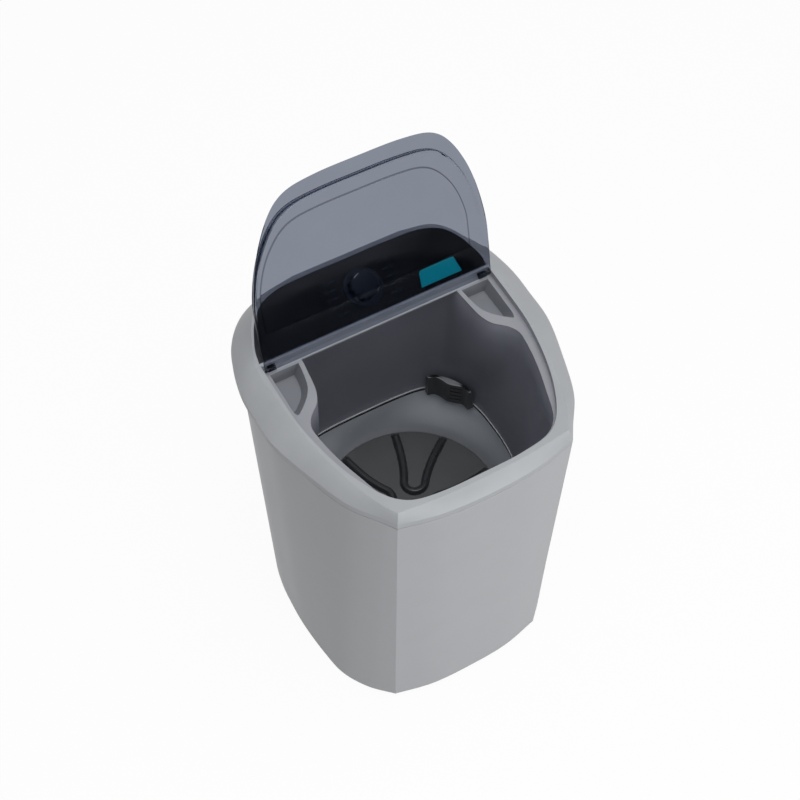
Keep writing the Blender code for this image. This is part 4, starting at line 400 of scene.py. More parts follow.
def strip_cap(mesh, row):
    """Close a mirrored ring with strips that run straight from side to side."""
    count = len(row)
    half = count // 2
    reach = RING_STEPS + 1
    mesh.faces.new(row[count - reach:] + row[:reach + 1])
    for index in range(reach, half - reach):
        mesh.faces.new((row[index], row[index + 1], row[count - index - 1], row[count - index]))
    mesh.faces.new(row[half - reach:half + reach + 1])


def loft(name, rings, material, ends="strip", sharp=35.0):
    """Skin a row of rings, with its ends closed by strips or flat faces, or joined together."""
    mesh = bmesh.new()
    rows = [[mesh.verts.new(point) for point in points] for points in rings]
    count = len(rows[0])
    if ends == "joined":
        rows.append(rows[0])
    for low, high in zip(rows, rows[1:]):
        for index in range(count):
            after = (index + 1) % count
            mesh.faces.new((low[index], low[after], high[after], high[index]))
    if ends == "strip":
        strip_cap(mesh, rows[0])
        strip_cap(mesh, rows[-1])
    if ends == "flat":
        mesh.faces.new(rows[0])
        mesh.faces.new(rows[-1])
    return piece(name, mesh, material, sharp)


def upright(name, outline, low, high, material):
    """Make an upright solid from an outline, between two heights."""
    return loft(name, [raised(outline, low), raised(outline, high)], material)


def turned(name, profile, material, matrix, steps=64):
    """Spin a profile of radius and height round the Z of a frame."""
    mesh = bmesh.new()
    angles = [2.0 * pi * step / steps for step in range(steps)]
    rows = []
    for radius, height in profile:
        spots = [(radius * cos(a), radius * sin(a), height) for a in angles]
        rows.append([mesh.verts.new(spot) for spot in (spots if radius else [(0.0, 0.0, height)])])
    for low, high in zip(rows, rows[1:]):
        for step in range(steps):
            after = (step + 1) % steps
            if len(low) == 1:
                mesh.faces.new((low[0], high[step], high[after]))
            elif len(high) == 1:
                mesh.faces.new((low[step], low[after], high[0]))
            else:
                mesh.faces.new((low[step], low[after], high[after], high[step]))
    item = piece(name, mesh, material)
    item.data.transform(matrix)
    return item


def rounded(profile, radius, steps=3):
    """Round the corners of a turned profile by a radius."""
    corners = [Vector(point) for point in profile]
    points = [profile[0]]
    for before, here, after in zip(corners, corners[1:], corners[2:]):
        points += [tuple(spot) for spot in rounded_corner(before, here, after, radius, steps)]
    return points + [profile[-1]]


def block(name, size, centre, material, matrix=Matrix()):
    """Make a plain box, moved by a matrix."""
    mesh = bmesh.new()
    bmesh.ops.create_cube(mesh, size=1.0)
    bmesh.ops.scale(mesh, vec=size, verts=mesh.verts[:])
    bmesh.ops.translate(mesh, vec=centre, verts=mesh.verts[:])
    bmesh.ops.transform(mesh, matrix=matrix, verts=mesh.verts[:])
    return piece(name, mesh, material)


def combine(target, tool, operation="DIFFERENCE"):
    """Cut a tool from a piece, or join it on, and remove the tool."""
    modifier = target.modifiers.new(operation.lower(), "BOOLEAN")
    modifier.operation = operation
    modifier.solver = "EXACT"
    modifier.object = tool
    depsgraph = bpy.context.evaluated_depsgraph_get()
    result = bpy.data.meshes.new_from_object(target.evaluated_get(depsgraph))
    target.modifiers.clear()
    mesh = bmesh.new()
    mesh.from_mesh(result)
    bmesh.ops.remove_doubles(mesh, verts=mesh.verts[:], dist=0.00002)
    bmesh.ops.dissolve_degenerate(mesh, edges=mesh.edges[:], dist=0.00002)
    mesh.to_mesh(result)
    mesh.free()
    old = target.data
    target.data = result
    bpy.data.meshes.remove(old)
    bpy.data.objects.remove(tool, do_unlink=True)
    target.data.shade_smooth()
    target.data.set_sharp_from_angle(angle=radians(35.0))


def bore(target, radius, low, high, place, steps):
    """Cut a round hole from low to high along the Z of a frame."""
    profile = ((0.0, low), (radius, low), (radius, high), (0.0, high))
    combine(target, turned("hole", profile, target.data.materials[0], place, steps))


def tint(item, look, chosen):
    """Give the faces that a function chooses a look of their own."""
    item.data.materials.append(LOOKS[look])
    for face in item.data.polygons:
        if chosen(face):
            face.material_index = 1


def soften(item, width, segments=2, angle=40.0):
    """Round a piece's sharp edges by a width."""
    modifier = item.modifiers.new("soft_edges", "BEVEL")
    modifier.width = width
    modifier.segments = segments
    modifier.limit_method = "ANGLE"
    modifier.angle_limit = radians(angle)
    modifier.use_clamp_overlap = True
    modifier.harden_normals = True


def show(item, body, replaced):
    """Set a piece on its body, in place of a solid, which is hidden."""
    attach(item, body)
    if replaced:
        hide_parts(*([replaced] if isinstance(replaced, str) else replaced))


# Materials

def wire(tree, target, inputs):
    """Set a node's inputs to values or to other nodes' outputs, and give its first output."""
    for key, value in inputs.items():
        if isinstance(value, bpy.types.NodeSocket):
            tree.links.new(value, target.inputs[key])
        else:
            target.inputs[key].default_value = value
    return target.outputs[0]


def add_node(tree, kind, inputs, operation=None):
    """Add a node with its inputs and give its first output."""
    made = tree.nodes.new(kind)
    if operation:
        made.operation = operation
    return wire(tree, made, inputs)


def plastic(name, colour, roughness, grain=0.0004, bump=0.02, mottle=0.04, coat=0.0, metallic=0.0,
            specular=0.5, rough_spread=0.08):
    """Moulded plastic or metal: faint mottling, a fine grain and uneven gloss."""
    made = bpy.data.materials.new(name)
    made.use_nodes = True
    tree = made.node_tree
    place = tree.nodes.new("ShaderNodeTexCoord").outputs["Object"]
    clouds = add_node(tree, "ShaderNodeTexNoise", {"Vector": place, "Scale": 14.0, "Detail": 4.0})
    fine = add_node(tree, "ShaderNodeTexNoise",
                    {"Vector": place, "Scale": 1.0 / grain / 3.0, "Detail": 2.0})
    tint = tree.nodes.new("ShaderNodeValToRGB")
    for element, position, share in zip(tint.color_ramp.elements, (0.30, 0.70),
                                        (1.0 - mottle, 1.0 + mottle)):
        element.position = position
        element.color = (*(min(1.0, channel * share) for channel in colour), 1.0)
    gloss = add_node(tree, "ShaderNodeMapRange", {
        "Value": clouds, "From Min": 0.3, "From Max": 0.7,
        "To Min": max(0.02, roughness - rough_spread),
        "To Max": min(1.0, roughness + rough_spread)})
    relief = add_node(tree, "ShaderNodeBump", {"Height": fine, "Strength": bump, "Distance": grain})
    wire(tree, tree.nodes["Principled BSDF"], {
        "Base Color": wire(tree, tint, {"Fac": clouds}), "Roughness": gloss, "Normal": relief,
        "Metallic": metallic, "Specular IOR Level": specular, "Coat Weight": coat})
    return made


SMOKE_INDEX, SMOKE_ROUGHNESS, SMOKE_LETS_THROUGH = 1.06, 0.02, 0.7


def smoked(name, colour):
    """Clear tinted acrylic: what is seen through it is tinted, and it casts only a part shadow."""
    made = plastic(name, colour, SMOKE_ROUGHNESS, bump=0.002, mottle=0.02, rough_spread=0.02)
    tree = made.node_tree
    shadow = tree.nodes.new("ShaderNodeLightPath").outputs["Is Shadow Ray"]
    alpha = add_node(tree, "ShaderNodeMath", {0: shadow, 1: -SMOKE_LETS_THROUGH, 2: 1.0},
                     "MULTIPLY_ADD")
    wire(tree, tree.nodes["Principled BSDF"],
         {"Transmission Weight": 1.0, "IOR": SMOKE_INDEX, "Alpha": alpha})
    return made


MOULDED = {"grain": 0.0005, "bump": 0.03}
LOOKS = {
    "cabinet": plastic("cabinet_paint", (0.42, 0.43, 0.45), 0.48, coat=0.03, mottle=0.02,
                       rough_spread=0.02),
    "frame": plastic("frame_plastic", (0.41, 0.425, 0.445), 0.48, specular=0.4, rough_spread=0.03,
                     **MOULDED),
    # The ledge and tray looks are darker copies of the frame's plastic: painted shade in the lid's
    # recess and the trays.
    "ledge": plastic("frame_plastic_ledge_painted_shade", (0.33, 0.34, 0.37), 0.50, specular=0.35, **MOULDED),
    "tray": plastic("frame_plastic_tray_painted_shade", (0.23, 0.24, 0.265), 0.50, specular=0.35, **MOULDED),
    # The collar is darker and the bowl lighter than the frame's plastic: painted shade on the tub's
    # upright wall, painted light on its sloping bowl.
    "collar": plastic("collar_plastic_painted_shade", (0.230, 0.237, 0.283), 0.42),
    # The bead look is near white: a painted highlight along the lip at the tub's seam.
    "bead_painted_highlight": plastic("seam_bead_painted_highlight", (0.93, 0.94, 0.95), 0.30),
    "bowl": plastic("bowl_plastic_painted_light", (0.60, 0.63, 0.68), 0.40),
    "impeller": plastic("impeller_plastic", (0.105, 0.112, 0.115), 0.45, rough_spread=0.03,
                        specular=0.35),
    # The ridge look is a darker copy of the impeller's plastic: painted shade on the ridges.
    "ridge": plastic("ridge_plastic_painted_shade", (0.030, 0.032, 0.036), 0.32),
    "filter": plastic("filter_plastic", (0.070, 0.073, 0.078), 0.38),
    # The filter's top faces get a much lighter copy of its plastic: painted light where the top
    # faces up.
    "filter_top_painted_light": plastic("filter_plastic_top_painted_light", (0.34, 0.355, 0.37), 0.42),
    "fascia": plastic("fascia_gloss", (0.006, 0.007, 0.009), 0.18, bump=0.005, specular=0.22),
    "knob": plastic("knob_plastic", (0.010, 0.016, 0.028), 0.32, specular=0.35),
    "badge": plastic("badge_plate_paint", (0.0, 0.72, 0.80), 0.40, specular=0.15),
    "pale": plastic("pale_plastic", (0.62, 0.62, 0.60), 0.45),
    "black": plastic("black_plastic", (0.022, 0.022, 0.024), 0.50, bump=0.06),
    "rubber": plastic("rubber_black", (0.020, 0.020, 0.021), 0.80, bump=0.10),
    "pin": plastic("pin_steel", (0.10, 0.10, 0.11), 0.50, metallic=1.0),
    "steel": plastic("steel_bright", (0.58, 0.58, 0.60), 0.28, metallic=1.0),
    "zinc": plastic("zinc_plate", (0.46, 0.47, 0.48), 0.42, metallic=1.0, mottle=0.12),
    "aluminium": plastic("aluminium_cast", (0.58, 0.58, 0.60), 0.52, metallic=1.0, bump=0.10),
    "bronze": plastic("bronze_sintered", (0.36, 0.22, 0.10), 0.48, metallic=1.0, bump=0.08),
    "legend": plastic("legend_print", (0.045, 0.085, 0.11), 0.50, specular=0.2),
    "pointer": plastic("pointer_print", (0.95, 0.95, 0.97), 0.45),
    "smoke": smoked("smoked_acrylic", (0.235, 0.255, 0.310)),
    # Paler copies of the smoked acrylic: painted light on the front of the step wall and on the
    # brim at the hinge.
    "smoke_wall_painted_light": smoked("smoked_acrylic_painted_light", (0.60, 0.63, 0.70)),
    "smoke_rear_painted_light": smoked("smoked_acrylic_rear_painted_light", (0.38, 0.40, 0.45)),
    # A darker copy of the smoked acrylic: painted shade along the crease.
    "smoke_crease_painted_shade": smoked("smoked_acrylic_crease_painted_shade", (0.085, 0.095, 0.125)),
}
# What the solids themselves wear; all others are zinc plated
CAD_LOOKS = {
    "cabinet": ("cabinet", "rear_cover"), "frame": ("top_frame",), "collar": ("tub_collar",),
    "bowl": ("tub_bowl",), "filter": ("filter_cover",), "impeller": ("impeller", "impeller_cap"),
    "fascia": ("console_fascia",), "knob": ("timer_knob",), "badge": ("badge_plate",),
    "smoke": ("lid",), "pale": ("tub_gasket", "timer_module", "capacitor"),
    "black": ("filter_screen", "console_housing", "base_tray", "drain_pipe", "drain_spigot"),
    "rubber": ("shaft_seal", "drive_belt", "cable_gland", "foot_front_left", "foot_front_right",
               "foot_back_left", "foot_back_right"),
    "pin": ("hinge_pin_left", "hinge_pin_right"),
    "steel": ("impeller_bolt", "timer_spindle", "drive_shaft", "motor_shaft"),
    "aluminium": ("bearing_housing", "driven_pulley", "motor_pulley", "motor_housing"),
    "bronze": ("upper_bush", "lower_bush")}
LOOK_OF_SOLID = {solid: look for look, solids in CAD_LOOKS.items() for solid in solids}
SOFTENED = ("rear_cover", "base_tray", "drain_spigot", "cable_gland", "motor_housing",
            "bearing_housing")
for node_name, solid in nodes.items():
    look = LOOKS[LOOK_OF_SOLID.get(node_name, "zinc")]
    if not solid.material_slots:
        solid.data.materials.append(look)
    for material_slot in solid.material_slots:
        material_slot.material = look
    if node_name in SOFTENED:
        soften(solid, SOLID_EDGE)
    if node_name.startswith(("foot_", "cover_screw_")):
        soften(solid, SMALL_EDGE)


# Pieces

def corner_path(points, share=0.35, steps=4):
    """Round the corners of a path of number tuples, as a share of the stretches beside them."""
    rows = [points[0]]
    for before, here, after in zip(points, points[1:], points[2:]):
        first = [b + (h - b) * (1.0 - share) for b, h in zip(before, here)]
        second = [h + (a - h) * share for h, a in zip(here, after)]
        rows += [tuple(f * (1.0 - t) ** 2 + h * 2.0 * t * (1.0 - t) + s * t ** 2
                       for f, h, s in zip(first, here, second)) for t in even_steps(steps)]
    rows.append(points[-1])
    return rows


def make_cabinet():
    """Make the tapered cabinet with its softened arrises."""
    body, base, edge = BODY_RING, BASE_RING, CABINET_EDGE
    inset = -edge * ARRIS_SHARE
    rings = [raised(offset(base, inset), CABINET_LIFT), raised(base, CABINET_LIFT + edge),
             raised(body, SEAM_HEIGHT - edge), raised(offset(body, inset), SEAM_HEIGHT),
             raised(offset(body, -CABINET_WALL), SEAM_HEIGHT),
             raised(offset(base, -CABINET_WALL), CABINET_LIFT)]
    cabinet = loft("cabinet_shell", rings, LOOKS["cabinet"], "joined", sharp=CABINET_SHARP_ANGLE)
    for node in ("rear_cover", "drain_spigot", "cable_gland"):
        low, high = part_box(node)
        middle = (low + high) / 2.0
        size = high - low
        if node == "rear_cover":
            margin = 2.0 * COVER_WINDOW_MARGIN
            window = (size.x - margin, WALL_TOOL_DEPTH / 2.0, size.z - margin)
            combine(cabinet, block("window", window, middle, LOOKS["cabinet"]))
        else:
            radius = SPIGOT_HOLE_RADIUS if node == "drain_spigot" else GLAND_HOLE_RADIUS
            spot = Matrix.Translation((middle.x, REAR_HOLE_Y, middle.z))
            turn = spot @ Matrix.Rotation(pi / 2.0, 4, "X")
            bore(cabinet, radius, -WALL_TOOL_DEPTH / 2.0, WALL_TOOL_DEPTH / 2.0, turn, 32)
    cabinet.data.set_sharp_from_angle(angle=radians(CABINET_SHARP_ANGLE))
    soften(cabinet, CABINET_EDGE, 2, CABINET_SHARP_ANGLE)
    show(cabinet, "machine", "cabinet")


def tray_outline(side):
    """Give a tray's rim on one side, finely curved."""
    corners = [Vector((side * (TRAY_INNER_X + across * TRAY_WIDTH),
                       TRAY_BACK_Y - along * TRAY_LENGTH))
               for across, along in TRAY_OUTLINE_SHARES]
    points = open_curve(corners, 4)
    return points if side > 0.0 else points[::-1]


def tray_solid(side, wall):
    """Make the widening space of a tray, or with a wall the block that holds it."""
    rim = tray_outline(side)
    middle_x = sum(point.x for point in rim) / len(rim)
    floor_height = ledge_height(Vector((0.0, TRAY_BACK_Y))) - TRAY_DEPTH
    rings = []
    for height in (floor_height, HINGE_LIP_HEIGHT + TOOL_REACH):
        share = TRAY_FLOOR_SHARE + (1.0 - TRAY_FLOOR_SHARE) * (height - floor_height) / TRAY_DEPTH
        outline = [Vector((middle_x + (p.x - middle_x) * share,
                           TRAY_BACK_Y - (TRAY_BACK_Y - p.y) * share)) for p in rim]
        rings.append(raised(offset(outline, wall), height - wall))
    return loft("tray", rings, LOOKS["frame"], "flat")


def paint_frame_shade(data, groove_top):
    """Paint shade: darker plastic on the frame's ledge and trays, and black in its seam groove."""
    for look in ("ledge", "tray", "rubber"):
        data.materials.append(LOOKS[look])
    painted_shade_ledge_face, painted_shade_tray_face, painted_shade_groove_face = 1, 2, 3
    crest = [(point.x, point.y) for point in CREST_RING]
    tray_low = LEDGE_DEPTH + TRAY_DEPTH + 2.0 * SAME_HEIGHT
    for face in data.polygons:
        spot = face.center
        # The seam groove is real; the black look on its faces is painted shade between frame and
        # cabinet.
        if spot.z < groove_top and spot.xy.length > BODY_BACK * 0.8:
            face.material_index = painted_shade_groove_face
        if spot.y > BAR_FRONT - 2.0 * SAME_HEIGHT or not inside((spot.x, spot.y), crest):
            continue
        depth = top_height(spot) - spot.z
        beside = abs(spot.x) > TRAY_INNER_X - TRAY_SIDE_ROOM
        # Painted shade: the trays and the ledge get darker copies of the frame's plastic.
        if beside and LEDGE_DEPTH + SAME_HEIGHT < depth < tray_low:
            in_tray = spot.y > TRAY_BACK_Y - TRAY_LENGTH - TRAY_END_ROOM
            face.material_index = painted_shade_tray_face if in_tray else painted_shade_ledge_face
        elif SAME_HEIGHT < depth < LEDGE_DEPTH + LEDGE_ROOM:
            face.material_index = painted_shade_ledge_face


def make_top_frame():
    """Make the moulded frame: shoulder, crest, lid recess, trays, hinge seats and console seat."""
    grey = LOOKS["frame"]
    foot = SEAM_HEIGHT + SEAT
    low = offset(BODY_RING, overhang)
    edge = raised(low, lambda p: foot + edge_height(p))
    summit = raised(CREST_RING, top_height)
    shoulder = []
    for share in SHOULDER_SHARES:
        crown = SHOULDER_CROWN * 4.0 * share * (1.0 - share)
        shoulder.append([a.lerp(b, share) + UP * crown for a, b in zip(edge, summit)])
    groove = offset(low, -SEAM_GROOVE_DEPTH)
    start = [raised(groove, foot), raised(groove, foot + SEAM_GROOVE),
             raised(low, foot + SEAM_GROOVE)]
    frame = loft("moulded_frame", start + [edge] + shoulder + [summit], grey)

    gate = offset(BODY_RING, -GATE_INSET)
    inner_low = offset(low, -FRAME_WALL)
    inner_crest = offset(CREST_RING, -FRAME_WALL)
    floor = foot + FRAME_WALL
    rings = [raised(gate, foot - TOOL_REACH), raised(gate, floor), raised(inner_low, floor),
             raised(inner_low, lambda p: foot + edge_height(p) - FRAME_WALL),
             raised(inner_crest, lambda p: top_height(p) - FRAME_WALL)]
    hollow = loft("hollow", rings, grey)
    recess = recess_ring()
    deck_edge = offset(recess, FRAME_WALL)
    above = LEDGE_DEPTH + TOOL_REACH
    deck = upright("deck", deck_edge, lambda p: ledge_height(p) - FRAME_WALL,
                   lambda p: ledge_height(p) + above, grey)
    seat = upright("seat", fascia_ring(-FRAME_WALL), -FASCIA_THICKNESS - FRAME_WALL,
                   TOOL_REACH, grey)
    seat.data.transform(CONSOLE_PLACE)
    for tool in (deck, tray_solid(1.0, FRAME_WALL), tray_solid(-1.0, FRAME_WALL), seat):
        combine(hollow, tool)
    combine(frame, hollow)
    combine(frame, upright("recess", recess, ledge_height, lambda p: ledge_height(p) + above, grey))
    mouth = upright("mouth", MOUTH_RING, foot, HINGE_LIP_HEIGHT, grey)
    combine(mouth, block("bar", (MOUTH_WIDTH, MOUTH_BACK, MOUTH_FRONT),
                         (0.0, BAR_FRONT + MOUTH_BACK / 2.0, HINGE_HEIGHT), grey))
    for tool in (mouth, tray_solid(1.0, 0.0), tray_solid(-1.0, 0.0)):
        combine(frame, tool)
    for inset, depth in ((0.0, SEAT), (FASCIA_SEAT_INSET, TOOL_REACH)):
        tool = upright("fascia_cut", fascia_ring(inset), -FASCIA_THICKNESS - depth,
                       TOOL_REACH, grey)
        tool.data.transform(CONSOLE_PLACE)
        combine(frame, tool)
    pin_end = LID_HALF_WIDTH + LID_SIDE_GAP + PIN_SEAT_DEPTH
    turn = Matrix.Translation((0.0, HINGE_Y, HINGE_HEIGHT)) @ Matrix.Rotation(pi / 2.0, 4, "Y")
    bore(frame, PIN_RADIUS + SEAT, -pin_end, pin_end, turn, 24)
    frame.data.set_sharp_from_angle(angle=radians(FRAME_SHARP_ANGLE))
    paint_frame_shade(frame.data, foot + SEAM_GROOVE)
    soften(frame, FRAME_EDGE, 3, FRAME_EDGE_ANGLE)
    show(frame, "machine", "top_frame")


def lid_ring(side, front, rear):
    """Give the lid's outline drawn in at sides, front and rear, with the hinge line as Y = 0."""
    return ring(lid_half(LID_HALF_WIDTH - side,
                         lambda along: -rear - along * (LID_LENGTH - front - rear)))


def make_lid():
    """Make the smoked lid with rounded brim, step, shoulder and crease, leaning open."""
    low = -(HINGE_HEIGHT - ledge_height(Vector((0.0, HINGE_Y))) - SEAT)
    top = BRIM_RISE + WALL_RISE + SHOULDER_RISE
    side = BRIM_SIDE + WALL_INSET + SHOULDER_SIDE
    front = BRIM_FRONT + WALL_INSET + SHOULDER_FRONT
    crease = [inset + CREASE_WIDTH for inset in (side, front, SHOULDER_REAR)]
    panel = [inset + PANEL_INSET for inset in crease]
    stations = (
        (0.0, 0.0, 0.0, 0.0, 0.0),
        (BRIM_SIDE, BRIM_FRONT, BRIM_REAR, BRIM_RISE, LID_WALL),
        (side - SHOULDER_SIDE, front - SHOULDER_FRONT, BRIM_REAR + REAR_WALL_RUN,
         BRIM_RISE + WALL_RISE, LID_WALL),
        (side, front, SHOULDER_REAR, top, 0.0),
        (*crease, top - CREASE_DROP, 0.0),
        (*panel, top + PANEL_CROWN, 0.0))
    under = corner_path([station[:4] for station in stations])
    over = corner_path([(s - less, f - less, r - less, level + LID_WALL)
                        for s, f, r, level, less in stations])
    rings = [raised(lid_ring(s, f, r), low + level) for s, f, r, level in under[::-1] + over]
    lid = loft("smoked_lid", rings, LOOKS["smoke"], sharp=30.0)
    for look in ("smoke_wall_painted_light", "smoke_crease_painted_shade", "smoke_rear_painted_light"):
        lid.data.materials.append(LOOKS[look])
    count, rows = len(rings[0]), len(over)
    painted_light_end = -LID_LENGTH * PAINTED_LIGHT_WALL_SHARE
    for face in lid.data.polygons:
        row = face.index // count
        from_edge = rows - 2 - row if row < rows else row - rows
        if face.index >= count * (2 * rows - 1):
            continue
        # Painted light: a paler tint on the step wall's front part and on the brim by the hinge.
        if WALL_ROWS[0] <= from_edge < WALL_ROWS[1] and face.center.y < painted_light_end:
            face.material_index = 1
        # Painted shade: a darker tint along the crease.
        elif CREASE_ROWS[0] <= from_edge < CREASE_ROWS[1]:
            face.material_index = 2
        elif from_edge < WALL_ROWS[0] and face.center.y > -BRIM_REAR:
            face.material_index = 3
    for end in (-1.0, 1.0):
        x = end * (LID_HALF_WIDTH - EAR_INSET - EAR_WIDTH / 2.0)
        base = low + LID_WALL / 2.0
        outline = [(0.0, base), (-EAR_FOOT, base)]
        outline += [(EAR_RADIUS * cos(a), EAR_RADIUS * sin(a))
                    for a in (pi * (1.0 - 1.5 * step / 24.0) for step in range(25))]
        sides = [[Vector((x + s * EAR_WIDTH / 2.0, y, z)) for y, z in outline] for s in (-1.0, 1.0)]
        combine(lid, loft("ear", sides, LOOKS["smoke"], "flat"), "UNION")
    reach = LID_HALF_WIDTH + TOOL_REACH
    bore(lid, PIN_RADIUS + PIN_BORE_ROOM, -reach, reach, Matrix.Rotation(pi / 2.0, 4, "Y"), 24)
    lid.data.transform(Matrix.Translation((0.0, HINGE_Y, HINGE_HEIGHT))
                       @ Matrix.Rotation(-(pi / 2.0 + LID_LEAN), 4, "X"))
    for corner in lid.data.vertices:
        corner.co.z = min(corner.co.z, cad_bounds[1][2])
    show(lid, "lid_body", "lid")


def make_collar():
    """Make the tub's upper wall from the mouth down to the seam."""
    mouth, seam = MOUTH_RING, SEAM_RING
    low = TUB_SEAM_HEIGHT + GASKET_HEIGHT + 2.0 * GAP
    start = LIP_HEIGHT - LEDGE_DEPTH - COLLAR_STRAIGHT

    def top(point):
        """Give the height of the collar's upper end, just below the ledge."""
        return ledge_height(point) - FRAME_WALL - GAP

    inner = [raised(offset(mouth, COLLAR_LIP), top),
             raised(mouth, lambda p: top(p) - COLLAR_LIP_DROP)]
    for share in even_steps(12):
        height = start + (low + BEAD_HEIGHT - start) * share
        inner.append(raised(blend(mouth, seam, ease(share)), height))
    outer = [raised(offset(points, TUB_WALL), points[0].z) for points in inner[3:-1]]
    for drop, reach in BEAD_SHARES:
        inner.append(raised(offset(seam, -BEAD_REACH * reach), low + BEAD_HEIGHT * (1.0 - drop)))
    flange = offset(seam, TUB_WALL + TUB_FLANGE)
    rim = raised(offset(mouth, TUB_WALL), top)
    rings = inner + [raised(flange, low), raised(flange, low + TUB_WALL),
                     raised(offset(seam, TUB_WALL), low + TUB_WALL)] + outer[::-1] + [rim]
    collar = loft("tub_wall_upper", rings, LOOKS["collar"], "joined")
    # Painted highlight: the band low on the bead gets the near-white look.
    tint(collar, "bead_painted_highlight", lambda face: low + 0.0002 < face.center.z < low + BEAD_HEIGHT * 0.85)
    show(collar, "machine", "tub_collar")

    inner, outer = offset(seam, GASKET_INSET), offset(seam, GASKET_WIDTH)
    low = TUB_SEAM_HEIGHT + GAP
    high = low + GASKET_HEIGHT
    gasket = loft("seam_gasket", [raised(inner, low), raised(inner, high), raised(outer, high),
                                  raised(outer, low)], LOOKS["rubber"], "joined")
    show(gasket, "machine", "tub_gasket")


def make_bowl():
    """Make the tub's lower bowl, from a rounded square at the seam to a round floor."""
    seam = SEAM_RING
    circle = round_ring(seam, BOWL_RADIUS)
    inner = [raised(offset(seam, out), TUB_SEAM_HEIGHT - drop) for out, drop in BOWL_LIP]
    start = TUB_SEAM_HEIGHT - BOWL_WALL_DROP
    for share in even_steps(12):
        height = start + (BOWL_HEIGHT - TUB_SEAM_HEIGHT + BOWL_WALL_DROP) * share
        inner.append(raised(blend(seam, circle, ease(share)), height))
        if not share:
            inner.append(raised(seam, TUB_SEAM_HEIGHT - GROOVE_DROP))
    outer = [raised(offset(points, TUB_WALL), points[0].z) for points in inner[3:]]
    outer.insert(0, raised(offset(seam, TUB_WALL), TUB_SEAM_HEIGHT - TUB_WALL))
    for share in even_steps(6)[1:]:
        a = share * pi / 2.0
        radius = BOWL_RADIUS - FLOOR_CORNER * (1.0 - cos(a))
        level = BOWL_HEIGHT + (TUB_FLOOR - BOWL_HEIGHT) * (0.3 + 0.7 * sin(a))
        inner.append(raised(round_ring(seam, radius), level))
        outer.append(raised(round_ring(seam, radius + TUB_WALL), level - TUB_WALL))
    flange = offset(seam, TUB_WALL + TUB_FLANGE)
    top = [raised(flange, TUB_SEAM_HEIGHT - TUB_WALL), raised(flange, TUB_SEAM_HEIGHT)]
    bowl = loft("tub_wall_lower", inner[::-1] + top[::-1] + outer, LOOKS["bowl"], "flat")
    # The groove is real; the black look on it is painted shade under the collar's bead.
    painted_shade_rows = (len(inner) - 4, len(inner) - 3)
    tint(bowl, "rubber", lambda face: face.index // len(seam) in painted_shade_rows)
    show(bowl, "machine", "tub_bowl")


def filter_outline(inset, lean=0.0):
    """Give the filter's outline: its wavy front, then along the tub's corner wall, leaning in."""
    corners = [Vector((x * SEAM_HALF_WIDTH, y * SEAM_BACK)) for x, y in FILTER_FRONT_SHARES]
    wall = [moved for point, moved in zip(SEAM_RING, offset(SEAM_RING, -FILTER_MARGIN - lean))
            if point.x > corners[0].x and point.y > corners[-1].y]
    return offset(open_curve(corners, 6) + wall, -inset)


def make_filter():
    """Make the wavy lint filter with its soft top edge and its row of slots."""
    low = TUB_SEAM_HEIGHT
    high = low + FILTER_HEIGHT
    rings = [raised(filter_outline(0.0), low)]
    for share in even_steps(6):
        a = share * pi / 2.0
        inset, drop = FILTER_ROUND * (1.0 - cos(a)), FILTER_ROUND * (1.0 - sin(a))
        lean = FILTER_LEAN * (1.0 - drop / FILTER_HEIGHT)
        rings.append(raised(filter_outline(inset, lean), high - drop))
    rings.append(raised(filter_outline(FILTER_ROUND + 0.002, FILTER_LEAN), high))
    cover = loft("lint_filter_cover", rings, LOOKS["filter"], "flat")
    room = [raised(filter_outline(FILTER_WALL, lean), level) for lean, level in (
        (0.0, low - TOOL_REACH), (0.0, low), (FILTER_LEAN, high - FILTER_WALL))]
    combine(cover, loft("room", room, LOOKS["filter"], "flat"))
    first, second = (Vector((x * SEAM_HALF_WIDTH, y * SEAM_BACK))
                     for x, y in (FILTER_FRONT_SHARES[3], FILTER_FRONT_SHARES[5]))
    along = (second - first).normalized()
    turn = Matrix.Rotation(atan2(along.y, along.x), 4, "Z")
    spot = first.lerp(second, 0.5)
    for index in range(SLOT_COUNT):
        height = low + FILTER_HEIGHT * (index + 1.0) / (SLOT_COUNT + 1.0)
        matrix = Matrix.Translation((spot.x, spot.y, height)) @ turn
        combine(cover, block("slot", SLOT_SIZE, (0.0, 0.0, 0.0), LOOKS["filter"], matrix))
    mesh = bmesh.new()
    mesh.from_mesh(cover.data)
    bmesh.ops.triangulate(mesh, faces=[face for face in mesh.faces if len(face.verts) > 4])
    mesh.to_mesh(cover.data)
    mesh.free()
    # Painted light: the upward faces of the top get the lighter copy of the filter's plastic.
    tint(cover, "filter_top_painted_light",
         lambda face: face.center.z > high - FILTER_ROUND * 0.6 and face.normal.z > 0.7)
    matrix = Matrix.Translation((spot.x, spot.y, low + FILTER_HEIGHT / 2.0)) @ turn
    mesh = block("slot_mesh", SLOT_MESH_SIZE, (0.0, SLOT_MESH_BACK, 0.0), LOOKS["rubber"], matrix)
    show(mesh, "lint_filter", None)
    show(cover, "lint_filter", "filter_cover")


def dish_height(radius):
    """Give the height of the impeller's dish at a radius."""
    share = radius / IMPELLER_RADIUS
    return IMPELLER_RIM_HEIGHT - IMPELLER_DISH * (1.0 - share * share)


